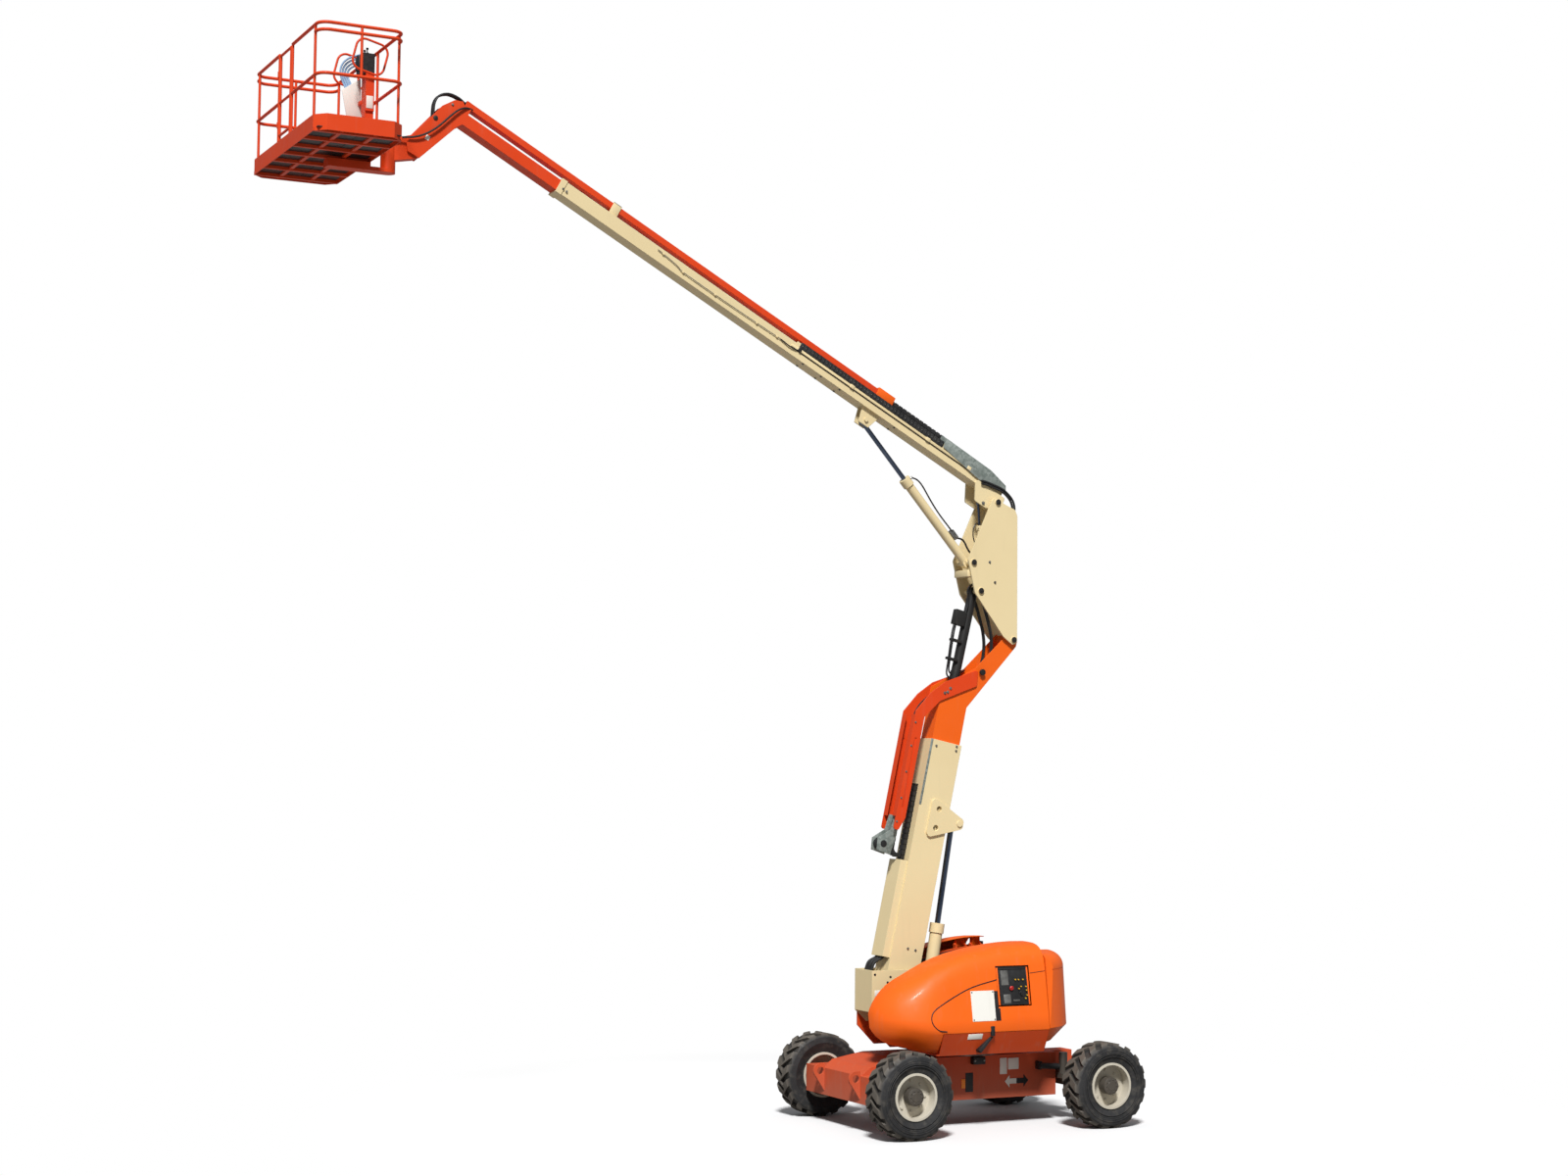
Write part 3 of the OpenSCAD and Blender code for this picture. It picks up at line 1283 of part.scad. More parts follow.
// Guard hoop beside the console: a leaning loop of bent tube
module hoop(y) {
    l = hoop_l / 2 - hoop_bend_r;
    h = hoop_h / 2 - hoop_bend_r;
    translate([hoop_x, y, hoop_z]) rotate([0, hoop_tilt, 0]) rotate([90, 0, 0]) {
        for (k = [0 : 3]) translate([k == 0 || k == 3 ? l : -l, k < 2 ? h : -h, 0]) rotate([0, 0, k * 90])
            rotate_extrude(angle = 90) translate([hoop_bend_r, 0]) circle(r = hoop_r);
        for (s = [-1, 1]) translate([-l, s * hoop_h / 2, 0]) rotate([0, 90, 0])
            cylinder(r = hoop_r, h = 2 * l);
        for (s = [-1, 1]) translate([s * hoop_l / 2, h, 0]) rotate([90, 0, 0])
            cylinder(r = hoop_r, h = 2 * h);
    }
}
module platform_rails() {
    x = platform_d / 2 - rail_inset;
    y = platform_w / 2 - rail_inset;
    low = floor_rise + floor_plate;
    color(orange) translate([platform_x, 0, platform_z]) {
        rail_ring(rail_h - rail_tube / 2, true);
        rail_ring(rail_h - mid_rail, true);
        for (sy = [-1, 1]) short_rail(sy, rail_h - second_rail);
        for (sx = [-1, 1]) for (sy = [-1, 1]) rail_post(sx * x, sy * (y - bend_r - rail_tube), low);
        for (py = [gate_from, gate_to]) rail_post(-x, py, low);
        for (sy = [-1, 1]) rail_post(0, sy * y, rail_h - mid_rail);
        for (sy = [-1, 1]) rail_post(x, sy * hoop_y, low);
        for (sy = [-1, 1]) hoop(sy * hoop_y);
    }
}
module platform_gate() {
    x = platform_d / 2 - rail_inset;
    r = rail_tube / 2;
    y0 = gate_from + r + gate_gap + r;
    y1 = gate_to - r - seat_gap - r;
    color(orange) translate([platform_x, 0, platform_z]) {
        for (y = [y0, y1]) translate([-x, y, toe_h + swing_gap])
            cylinder(r = r, h = rail_h - toe_h - rail_tube);
        for (z = [rail_h - rail_tube, rail_h - mid_rail, toe_h + 2 * rail_tube])
            bar_y(-x, z, post_r, y0, y1);
        for (z = gate_hinge_zs) difference() {
            union() {
                translate([-x, gate_to, z]) cylinder(r = sleeve_r, h = sleeve_h);
                block([-x - post_r / 2, y1, z], [-x + post_r / 2, gate_to, z + sleeve_h]);
            }
            translate([-x, gate_to, z - overrun]) cylinder(r = post_r + seat_gap,
                h = sleeve_h + 2 * overrun);
        }
    }
}
module console_stand() {
    x = platform_d / 2 - rail_inset - rail_tube / 2 - seat_gap;
    color(orange) translate([platform_x, 0, platform_z]) {
        block([x - console_t, console_y - stand_w / 2, floor_rise + floor_plate],
            [x, console_y + stand_w / 2, console_h]);
        block([x - console_t, console_y - console_w / 2, stand_step],
            [x, console_y + console_w / 2, console_h]);
    }
}
module platform_console() {
    x = platform_d / 2 - rail_inset - rail_tube / 2 - seat_gap;
    color(dark) translate([platform_x, 0, platform_z]) {
        block([x - box_d, console_y - console_w / 2, console_h],
            [x, console_y + console_w / 2, console_h + box_h]);
        for (s = [-1, 1]) translate([0, s * (console_w - horn_w) / 2, 0])
            block([x - box_d, console_y - horn_w / 2, console_h + box_h - weld],
                [x, console_y + horn_w / 2, console_h + box_h + horn_h]);
    }
}

chassis_frame();
steer_axle();
slewing_ring();
knuckle_near();
knuckle_far();
tie_rod();
tyre_front_near();
tyre_front_far();
tyre_rear_near();
tyre_rear_far();
rim_front_near();
rim_front_far();
rim_rear_near();
rim_rear_far();
turntable_frame();
tower_mount();
counterweight();
engine_block();
ground_controls();
hood_near();
hood_far();
tower_base();
tower_tray();
tower_chain_run();
tower_chain_loop();
tower_fly();
track_carrier();
upright();
tower_lift_barrel();
tower_lift_rod();
upright_level_barrel();
upright_level_rod();
main_lift_barrel();
main_lift_rod();
platform_level_barrel();
platform_level_rod();
boom_base();
chain_guard();
boom_chain_run();
boom_chain_loop();
boom_fly();
push_tube();
platform_support();
platform_floor();
platform_rails();
console_stand();
platform_console();
platform_gate();
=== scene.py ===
"""Looks of an articulating boom lift: finishes, fittings, hoses, light and camera."""

from __future__ import annotations

import itertools
import logging
import math
from dataclasses import dataclass, field
from enum import Enum
from types import TracebackType
from typing import Iterable, Sequence

import bmesh
import bpy
from mathutils import Matrix, Vector
from mathutils.bvhtree import BVHTree

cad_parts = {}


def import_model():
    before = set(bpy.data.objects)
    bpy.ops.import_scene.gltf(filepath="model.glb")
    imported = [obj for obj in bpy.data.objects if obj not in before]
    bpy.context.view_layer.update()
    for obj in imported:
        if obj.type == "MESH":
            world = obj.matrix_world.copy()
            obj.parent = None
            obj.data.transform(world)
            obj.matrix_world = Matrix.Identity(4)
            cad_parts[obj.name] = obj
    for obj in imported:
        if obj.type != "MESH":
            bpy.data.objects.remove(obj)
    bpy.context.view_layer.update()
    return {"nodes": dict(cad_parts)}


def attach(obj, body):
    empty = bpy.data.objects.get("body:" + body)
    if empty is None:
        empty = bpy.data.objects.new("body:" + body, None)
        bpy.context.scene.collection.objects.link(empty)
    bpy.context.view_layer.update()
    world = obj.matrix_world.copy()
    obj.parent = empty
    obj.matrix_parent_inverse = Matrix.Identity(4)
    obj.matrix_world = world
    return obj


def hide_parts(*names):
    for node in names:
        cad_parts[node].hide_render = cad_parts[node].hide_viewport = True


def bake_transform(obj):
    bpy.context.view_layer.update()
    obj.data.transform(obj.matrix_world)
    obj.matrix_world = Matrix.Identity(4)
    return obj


LOG = logging.getLogger("boom_lift")
Colour = tuple[float, float, float]
Point = Sequence[float]
Area = tuple[float, float, float, float]
Outline = Sequence[tuple[float, float]]
Signs = tuple[int, ...]
Socket = bpy.types.NodeSocket
Inputs = dict[str | int, object]
Band = tuple[float, float]

SIDES = (("near", -1), ("far", 1))
BOTH = (-1, 1)
OUT = (0, 0, 1)
FULL = (0.0, 1.0)
EARTH = (0.3, 0.25, 0.19)
SAND = (0.33, 0.29, 0.2)
TYRE_DUST = (0.16, 0.14, 0.11)
TREAD_DUST = (0.17, 0.145, 0.115)
TREAD_DEPTH = 0.042
SHARP = math.radians(34)
CURVE_STEPS = 24
PIPE_POINTS = 48
RING_SIDES = 12


class Wear(Enum):
    """How aged a painted surface looks: streaks and dust, and darkening towards the bottom that is
    partly painted shade.
    """

    LIGHT = 0.5
    ROAD = 1.0


def srgb(red: int, green: int, blue: int) -> Colour:
    """Turns display values of 0 to 255 into linear light.

    Args:
        red: Red share of the shown colour.
        green: Green share of the shown colour.
        blue: Blue share of the shown colour.

    Returns:
        The linear colour.
    """

    def channel(value: int) -> float:
        """One channel in linear light."""
        share = value / 255
        return share / 12.92 if share <= 0.04045 else ((share + 0.055) / 1.055) ** 2.4

    return channel(red), channel(green), channel(blue)


class Graph:
    """The nodes of a material or world, with short ways to add and wire them."""

    def __init__(self, owner: bpy.types.Material | bpy.types.World) -> None:
        """Starts from the nodes that a new material or world has."""
        owner.use_nodes = True
        self.owner = owner
        self.nodes = owner.node_tree.nodes
        self.links = owner.node_tree.links

    def feed(self, node: bpy.types.Node, inputs: Inputs) -> None:
        """Wires sockets to a node's inputs and sets the others to constants.

        Args:
            node: The node.
            inputs: Socket, number, vector or colour of each input, by its name or place.
        """
        for key, value in inputs.items():
            target = node.inputs[key]
            if isinstance(value, Socket):
                self.links.new(value, target)
            else:
                target.default_value = (*value, 1.0) if target.type == "RGBA" else value

    def add(self, kind: str, inputs: Inputs | None = None, **settings: object) -> bpy.types.Node:
        """Adds a node.

        Args:
            kind: Blender's name of the node's type, without its common start.
            inputs: What its inputs are fed with.
            settings: Values of the node's own properties.

        Returns:
            The new node.
        """
        node = self.nodes.new("ShaderNode" + kind)
        for key, value in settings.items():
            setattr(node, key, value)
        self.feed(node, inputs or {})
        return node


class Surface(Graph):
    """A material whose patterns lie in the object's own metres."""

    def __init__(self, name: str) -> None:
        """Starts a material with a bare shader."""
        super().__init__(bpy.data.materials.new(name))
        self.shader = self.nodes["Principled BSDF"]
        self.place = self.add("TexCoord").outputs["Object"]

    def noise(self, scale: float, detail: float, stretch: Point = (1, 1, 1)) -> Socket:
        """Adds a noise pattern.

        Args:
            scale: Features per metre.
            detail: Octaves of the noise.
            stretch: Scale of the pattern along each axis.

        Returns:
            The pattern's value.
        """
        mapping = self.add("Mapping", {"Vector": self.place, "Scale": stretch}).outputs[0]
        node = self.add("TexNoise", {"Vector": mapping, "Scale": scale, "Detail": detail})
        return node.outputs["Fac"]

    def spread(self, value: Socket, low: float, high: float, out: Band) -> Socket:
        """Maps a value's band to an output band, held at its ends.

        Args:
            value: Value to map.
            low: Start of the band.
            high: End of the band.
            out: Output at the band's start and end.

        Returns:
            The mapped value.
        """
        node = self.add("MapRange", {"Value": value, "From Min": low, "From Max": high,
                                     "To Min": out[0], "To Max": out[1]})
        return node.outputs["Result"]

    def mix(self, share: Socket, first: Socket | Colour, second: Socket | Colour) -> Socket:
        """Mixes two colours.

        Args:
            share: Share of the second colour.
            first: Colour where the share is 0.
            second: Colour where the share is 1.

        Returns:
            The mixed colour.
        """
        node = self.add("Mix", {"Factor": share, 6: first, 7: second}, data_type="RGBA")
        return node.outputs[2]

    def height(self) -> Socket:
        """Gives the height over the ground."""
        return self.add("SeparateXYZ", {0: self.place}).outputs["Z"]

    def round_wheel(self, x: float, z: float) -> Socket:
        """Gives the distance from the axis of the nearest wheel.

        Args:
            x: Distance of both axles from the machine's middle.
            z: Height of the axles.

        Returns:
            The distance.
        """
        fold = self.add("VectorMath", {0: self.place}, operation="ABSOLUTE").outputs[0]
        shift = self.add("VectorMath", {0: fold, 1: (x, 0, z)}, operation="SUBTRACT").outputs[0]
        flat = self.add("VectorMath", {0: shift, 1: (1, 0, 1)}, operation="MULTIPLY").outputs[0]
        return self.add("VectorMath", {0: flat}, operation="LENGTH").outputs["Value"]

    def edges(self, radius: float) -> tuple[Socket, Socket]:
        """Finds the rounded edges of a surface.

        Args:
            radius: Radius of the rounding in metres.

        Returns:
            The rounded normal and a mask that is 1 along the edges.
        """
        bevel = self.add("Bevel", {"Radius": radius}, samples=6).outputs[0]
        flat = self.add("NewGeometry").outputs["Normal"]
        turn = self.add("VectorMath", {0: bevel, 1: flat}, operation="DOT_PRODUCT")
        return bevel, self.spread(turn.outputs["Value"], 0.985, 0.8, FULL)

    def bump(self, pattern: Socket, strength: float, distance: float, **base: Socket) -> None:
        """Raises the surface by a pattern.

        Args:
            pattern: Height pattern.
            strength: Strength of the effect.
            distance: Depth in metres.
            base: The normal that the pattern is laid on, as Normal, where there is one.
        """
        node = self.add("Bump", {"Height": pattern, "Strength": strength, "Distance": distance,
                                 **base})
        self.feed(self.shader, {"Normal": node.outputs[0]})


@dataclass(frozen=True)
class Paint:
    """A painted metal finish with soft variation, streaks, edges made paler partly as wear and
    partly as painted highlight, and dust that darkens it towards the bottom, partly road dirt and
    partly painted shade.
    """

    name: str
    slot: str
    colour: Colour
    deep: Colour
    roughness: float
    coat: float = 0.05
    wear: Wear = Wear.LIGHT
    dust: Colour = EARTH

    def build(self) -> bpy.types.Material:
        """Makes the material."""
        surface = Surface(self.name)
        age = self.wear.value
        broad = surface.spread(surface.noise(0.9, 4.0), 0.38, 0.7, (0.0, 0.4))
        tone = surface.mix(broad, self.colour, self.deep)
        streak = surface.noise(5.0, 5.0, (3.0, 3.0, 0.35))
        streak = surface.spread(streak, 0.58, 0.82, (0.0, 0.16 * age + 0.02))
        tone = surface.mix(streak, tone, self.dust)
        # Dust mixed in more towards the bottom: partly road dirt, partly painted shade for the low
        # frame under the hoods.
        low_dust_and_shade = surface.spread(surface.height(), 0.95, 0.25, (0.0, 0.28 * age))
        tone = surface.mix(low_dust_and_shade, tone, self.dust)
        # Paler paint along the edges in patches: partly wear of the paint, partly a painted
        # highlight on the edges.
        normal, mask = surface.edges(0.004)
        wear_and_highlight_spots = surface.spread(surface.noise(9.0, 4.0), 0.35, 0.65, (0.15, 0.45))
        lightened_share = surface.add("Math", {0: mask, 1: wear_and_highlight_spots}, operation="MULTIPLY").outputs[0]
        pale = tuple(0.6 * c + 0.4 * min(1.0, c * 1.6 + 0.06) for c in self.colour)
        band = (self.roughness - 0.06, self.roughness + 0.14)
        surface.feed(surface.shader, {
            "Base Color": surface.mix(lightened_share, tone, pale),
            "Roughness": surface.spread(surface.noise(7.0, 5.0), 0.3, 0.75, band),
            "Specular IOR Level": 0.28, "Coat Weight": self.coat, "Coat Roughness": 0.12})
        surface.bump(surface.noise(160.0, 2.0), 0.05, 0.0004, Normal=normal)
        return surface.owner


@dataclass(frozen=True)
class Metal:
    """A bare metal finish, from polished rod to galvanised sheet."""

    name: str
    slot: str
    colour: Colour
    deep: Colour
    roughness: float
    scale: float = 12.0
    spangle: bool = False
    metallic: float = 1.0

    def build(self) -> bpy.types.Material:
        """Makes the material."""
        surface = Surface(self.name)
        if self.spangle:
            cells = surface.add("TexVoronoi", {"Vector": surface.place, "Scale": self.scale})
            share = surface.add("SeparateColor", {0: cells.outputs["Color"]}).outputs[0]
        else:
            share = surface.spread(surface.noise(self.scale, 4.0), 0.3, 0.7, FULL)
        band = (self.roughness * 0.7, self.roughness * 1.3)
        surface.feed(surface.shader, {
            "Base Color": surface.mix(share, self.colour, self.deep),
            "Roughness": surface.spread(surface.noise(self.scale * 3, 3.0), 0.3, 0.7, band),
            "Metallic": self.metallic})
        return surface.owner


@dataclass(frozen=True)
class Polymer:
    """Rubber, hose cover or moulded plastic with a fine texture."""

    name: str
    slot: str
    colour: Colour
    deep: Colour
    roughness: float
    pebble: float
    depth: float
    dust: float = 0.0
    tread: tuple[float, float, float] | None = None

    def build(self) -> bpy.types.Material:
        """Makes the material."""
        surface = Surface(self.name)
        share = surface.spread(surface.noise(6.0, 5.0), 0.35, 0.7, FULL)
        tone = surface.mix(share, self.colour, self.deep)
        if self.dust:
            spots = surface.spread(surface.noise(14.0, 6.0), 0.5, 0.72, (0.0, self.dust))
            tone = surface.mix(spots, tone, TYRE_DUST)
        if self.tread:
            x, z, foot = self.tread
            lightened_share = surface.round_wheel(x, z)
            lightened_share = surface.spread(lightened_share, foot, foot + TREAD_DEPTH, (0.0, 0.55))
            tone = surface.mix(lightened_share, tone, TREAD_DUST)
        band = (self.roughness - 0.1, self.roughness + 0.12)
        gloss = surface.spread(surface.noise(30.0, 3.0), 0.3, 0.7, band)
        surface.feed(surface.shader, {"Base Color": tone, "Roughness": gloss})
        surface.bump(surface.noise(self.pebble, 3.0), 0.35, self.depth)
        return surface.owner


class Finish(Enum):
    """The finishes that the machine carries."""

    ORANGE = Paint("hood_orange", "orange_paint", srgb(234, 98, 16), srgb(220, 84, 12), 0.5)
    ORANGE_DEEP = Paint(
        "orange_tube_paint", "orange_paint", srgb(216, 66, 18), srgb(198, 52, 14), 0.5)
    # A darker copy of the orange with heavier dust low down: partly road dirt, partly painted shade
    # for chassis and turntable skirt under the hoods.
    ORANGE_LOW = Paint(
        "orange_chassis_paint", "orange_paint", srgb(200, 70, 20), srgb(172, 54, 18), 0.55,
        wear=Wear.ROAD)
    TAN = Paint(
        "arm_tan", "tan_paint", srgb(224, 205, 160), srgb(212, 191, 146), 0.42, dust=SAND)
    BLACK = Paint(
        "frame_black", "black_paint", srgb(38, 37, 36), srgb(24, 24, 24), 0.42, coat=0.1,
        wear=Wear.ROAD)
    CREAM = Paint(
        "rim_cream", "rim_paint", srgb(206, 200, 184), srgb(182, 175, 158), 0.4, wear=Wear.ROAD)
    PLATE = Paint(
        "blank_plate", "rim_paint", srgb(226, 224, 216), srgb(208, 205, 196), 0.4, coat=0.1)
    CHROME = Metal("chrome_rod", "chrome", srgb(112, 124, 146), srgb(78, 90, 112), 0.16, 3.0)
    STEEL = Metal(
        "oiled_steel", "bright_steel", srgb(150, 150, 146), srgb(104, 102, 98), 0.4, metallic=0.7)
    GALVANISED = Metal(
        "galvanised_sheet", "galvanised", srgb(150, 158, 152), srgb(112, 122, 116), 0.5, 38.0,
        spangle=True, metallic=0.3)
    ENGINE = Metal("engine_casting", "engine", srgb(96, 96, 94), srgb(60, 58, 56), 0.55, 20.0)
    TYRE = Polymer(
        "tyre_rubber", "tyre", srgb(40, 40, 41), srgb(24, 24, 25), 0.72, 140.0, 0.0015, 0.25,
        tread=(1.25, 0.472, 0.43))
    HOSE = Polymer(
        "hose_cover", "black_plastic", srgb(30, 30, 31), srgb(18, 18, 19), 0.48, 400.0, 0.0003)
    BLUE = Polymer(
        "blue_hose", "black_plastic", srgb(146, 176, 206), srgb(112, 142, 176), 0.45, 400.0, 0.0003)
    CHAIN = Polymer(
        "chain_plastic", "black_plastic", srgb(36, 36, 37), srgb(20, 20, 21), 0.5, 300.0, 0.0004,
        0.12)
    PLASTIC = Polymer(
        "moulded_black", "black_plastic", srgb(34, 34, 35), srgb(20, 20, 21), 0.5, 500.0, 0.0003)
    RED = Polymer(
        "red_plastic", "black_plastic", srgb(196, 30, 24), srgb(160, 20, 16), 0.35, 500.0, 0.0002)
    YELLOW = Polymer(
        "yellow_plastic", "black_plastic", srgb(232, 186, 40), srgb(206, 156, 26), 0.4, 500.0,
        0.0002)
    AMBER = Polymer(
        "amber_reflector", "black_plastic", srgb(255, 150, 34), srgb(240, 124, 20), 0.25, 260.0,
        0.0006)

    def material(self) -> bpy.types.Material:
        """Gives the finish's material, made once."""
        return bpy.data.materials.get(self.value.name) or self.value.build()


@dataclass(frozen=True)
class Line:
    """A local frame in the machine's upright plane, along an arm, tube or cylinder."""

    origin: tuple[float, float]
    ahead: tuple[float, float]
    up: tuple[float, float]

    def at(self, along: float, over: float, y: float = 0.0) -> Vector:
        """Gives a point of the machine.

        Args:
            along: Distance along the line.
            over: Distance square to it.
            y: Distance across the machine.

        Returns:
            The point in the machine's frame.
        """
        x = self.origin[0] + along * self.ahead[0] + over * self.up[0]
        z = self.origin[1] + along * self.ahead[1] + over * self.up[1]
        return Vector((x, y, z))

    def route(self, points: Iterable[Point]) -> list[Vector]:
        """Gives points of the machine from their along, over and across."""
        return [self.at(*point) for point in points]

    def frame(self) -> Matrix:
        """Gives the matrix from along, over and across to the machine's frame."""
        columns = ((self.ahead[0], 0, self.ahead[1]), (self.up[0], 0, self.up[1]), (0, 1, 0))
        matrix = Matrix(columns).transposed().to_4x4()
        matrix.translation = self.at(0, 0)
        return matrix


class Lines(Enum):
    """The machine's own lines: the arms, and each cylinder from its foot pin."""

    WORLD = Line((0.0, 0.0), (1.0, 0.0), (0.0, 1.0))
    TOWER = Line((-1.04, 1.6), (0.207912, 0.978148), (-0.978148, 0.207912))
    BOOM = Line((0.38417, 7.05521), (-0.877983, 0.478692), (0.478692, 0.877983))
    MAIN_LIFT = Line((0.064, 6.348), (-0.661746, 0.749728), (0.749728, 0.661746))
    LEVEL = Line((0.16, 6.023), (-0.2332, -0.972429), (-0.972429, 0.2332))


class Forge:
    """Gathers shapes of one finish into one mesh that rides on a body."""

    def __init__(self, name: str, finish: Finish, body: str, line: Lines = Lines.WORLD,
                 signs: Signs = (1,)) -> None:
        """Starts an empty piece.

        Args:
            name: Name of the piece.
            finish: Its finish.
            body: Body that it rides on.
            line: Line whose along, over and across the shapes are given in.
            signs: Sides that each shape stands on: 1 as given, -1 mirrored across.
        """
        self.name = name
        self.finish = finish
        self.body = body
        self.signs = signs
        self.place = line.value.frame()
        self.shape = bmesh.new()

    def __enter__(self) -> Forge:
        """Starts the piece's shapes."""
        return self

    def __exit__(self, kind: type | None, error: Exception | None,
                 trace: TracebackType | None) -> None:
        """Makes the piece once its shapes are in, and lets it ride on its body.

        Args:
            kind: Type of an error among the shapes, if any.
            error: That error; not used.
            trace: Where it arose; not used.
        """
        if kind is None:
            mesh = bpy.data.meshes.new(self.name)
            self.shape.to_mesh(mesh)
            dress(mesh, self.name, self.finish, self.body)
        self.shape.free()

    def take(self, part: bmesh.types.BMesh, placed: bool = False) -> None:
        """Joins a finished shape to the piece, on each of its sides.

        Args:
            part: The shape, which is used up.
            placed: Whether it is in the machine's frame already.
        """
        if not placed:
            bmesh.ops.transform(part, matrix=self.place, verts=part.verts)
        for sign in self.signs:
            side = part.copy()
            bmesh.ops.scale(side, vec=(1, sign, 1), verts=side.verts)
            bmesh.ops.recalc_face_normals(side, faces=side.faces)
            mesh = bpy.data.meshes.new("shape")
            side.to_mesh(mesh)
            side.free()
            self.shape.from_mesh(mesh)
            bpy.data.meshes.remove(mesh)
        part.free()

    @staticmethod
    def block(low: Point, high: Point) -> bmesh.types.BMesh:
        """Makes a sharp block between two corners."""
        part = bmesh.new()
        first, last = Vector(low), Vector(high)
        place = Matrix.LocRotScale((last + first) / 2, None, last - first)
        bmesh.ops.create_cube(part, size=1.0, matrix=place)
        return part

    @staticmethod
    def round_off(part: bmesh.types.BMesh, edges: Iterable[bmesh.types.BMEdge],
                  radius: float) -> None:
        """Rounds some edges of a shape."""
        bmesh.ops.bevel(part, geom=list(edges), offset=radius, offset_type="OFFSET", segments=2,
                        profile=0.5, affect="EDGES", clamp_overlap=True, material=-1)

    def box(self, low: Point, high: Point, edge: float) -> None:
        """Adds a block with rounded edges between two corners."""
        part = self.block(low, high)
        self.round_off(part, part.edges, edge)
        self.take(part)

    def wedge(self, low: Point, high: Point, lean: float, edge: float) -> None:
        """Adds a block whose low side across leans in towards its top.

        Args:
            low: Its lowest corner.
            high: Its highest corner.
            lean: How far the top of that side is moved in.
            edge: Rounding of its edges.
        """
        part = self.block(low, high)
        for vert in part.verts:
            if vert.co.z < (low[2] + high[2]) / 2 and vert.co.y > (low[1] + high[1]) / 2:
                vert.co.z += lean
        self.round_off(part, part.edges, edge)
        self.take(part)

    def rod(self, start: Point, end: Point, radius: float, tip: float | None = None,
            edge: float = 0.0, sides: int = 24) -> None:
        """Adds a round or many-sided bar between two points.

        Args:
            start: Middle of its first end.
            end: Middle of its other end.
            radius: Radius at the first end.
            tip: Radius at the other end, where it differs.
            edge: Rounding of its end edges.
            sides: Number of sides.
        """
        part = bmesh.new()
        first, last = Vector(start), Vector(end)
        turn = (last - first).to_track_quat("Z", "Y").to_matrix().to_4x4()
        bmesh.ops.create_cone(part, cap_ends=True, cap_tris=False, segments=sides, radius1=radius,
                              radius2=radius if tip is None else tip, depth=(last - first).length,
                              matrix=Matrix.Translation((first + last) / 2) @ turn)
        if edge:
            rims = [e for e in part.edges if any(len(f.verts) > 4 for f in e.link_faces)]
            self.round_off(part, rims, edge)
        self.take(part)

    def turned(self, outline: Outline, centre: Point, axis: Point, steps: int = 32) -> None:
        """Adds a turned shape.

        Args:
            outline: Radius and height of the points of its half section.
            centre: Point of the axis at height 0.
            axis: Direction of the axis.
            steps: Number of steps round it.
        """
        part = bmesh.new()
        verts = [part.verts.new((radius, 0, height)) for radius, height in outline]
        for first, last in zip(verts, verts[1:]):
            part.edges.new((first, last))
        bmesh.ops.spin(part, geom=part.verts[:] + part.edges[:], cent=(0, 0, 0), axis=(0, 0, 1),
                       dvec=(0, 0, 0), angle=math.tau, steps=steps, use_merge=True)
        bmesh.ops.remove_doubles(part, verts=part.verts, dist=1e-6)
        turn = Vector(axis).to_track_quat("Z", "Y").to_matrix().to_4x4()
        place = Matrix.Translation(Vector(centre)) @ turn
        bmesh.ops.transform(part, matrix=place, verts=part.verts)
        self.take(part)

    def ring(self, centre: Point, axis: Point, radius: float, thick: float, steps: int) -> None:
        """Adds a round ring of round section."""
        turns = [k * math.tau / RING_SIDES for k in range(RING_SIDES + 1)]
        loop = [(radius + thick * math.cos(turn), thick * math.sin(turn)) for turn in turns]
        self.turned(loop, centre, axis, steps)

    def bolt(self, point: Point, axis: Point, radius: float) -> None:
        """Adds a hexagon head on its washer, standing on a face."""
        foot, out = Vector(point), Vector(axis).normalized()
        self.rod(foot - 0.002 * out, foot + 0.003 * out, radius * 1.35, edge=0.0008, sides=20)
        top = foot + (0.003 + radius * 0.75) * out
        self.rod(foot + 0.002 * out, top, radius, edge=radius * 0.14, sides=6)

    def pin(self, point: Point, axis: Point, radius: float, height: float) -> None:
        """Adds a pin's round end with a keeper plate's bolt."""
        foot, out = Vector(point), Vector(axis).normalized()
        end = foot + height * out
        self.rod(foot, end, radius, edge=radius * 0.12, sides=32)
        self.rod(end, end + 0.006 * out, radius * 0.28, edge=0.001, sides=6)

    def plate(self, outline: Outline, y_low: float, y_high: float, edge: float) -> None:
        """Adds a flat plate cut to an outline in the piece's own line.

        Args:
            outline: Along and over of the outline's points.
            y_low: One side of the plate.
            y_high: Its other side.
            edge: Rounding of its edges.
        """
        part = bmesh.new()
        face = part.faces.new([part.verts.new((along, over, y_low)) for along, over in outline])
        moved = bmesh.ops.extrude_face_region(part, geom=[face])["geom"]
        tops = [item for item in moved if isinstance(item, bmesh.types.BMVert)]
        bmesh.ops.translate(part, vec=(0, 0, y_high - y_low), verts=tops)
        bmesh.ops.recalc_face_normals(part, faces=part.faces)
        if edge:
            self.round_off(part, part.edges, edge)
        self.take(part)

    def pipe(self, route: Sequence[Point], radius: float, bend: bool = True) -> None:
        """Adds a bent pipe along points of the piece's own line.

        Args:
            route: Points that it passes.
            radius: Its radius.
            bend: Whether it is curved between the points.
        """
        points = [self.place @ Vector(p) for p in route]
        mesh = Sweep(Sweep(points).smooth(PIPE_POINTS) if bend else points).tube(radius)
        part = bmesh.new()
        part.from_mesh(mesh)
        bpy.data.meshes.remove(mesh)
        self.take(part, placed=True)


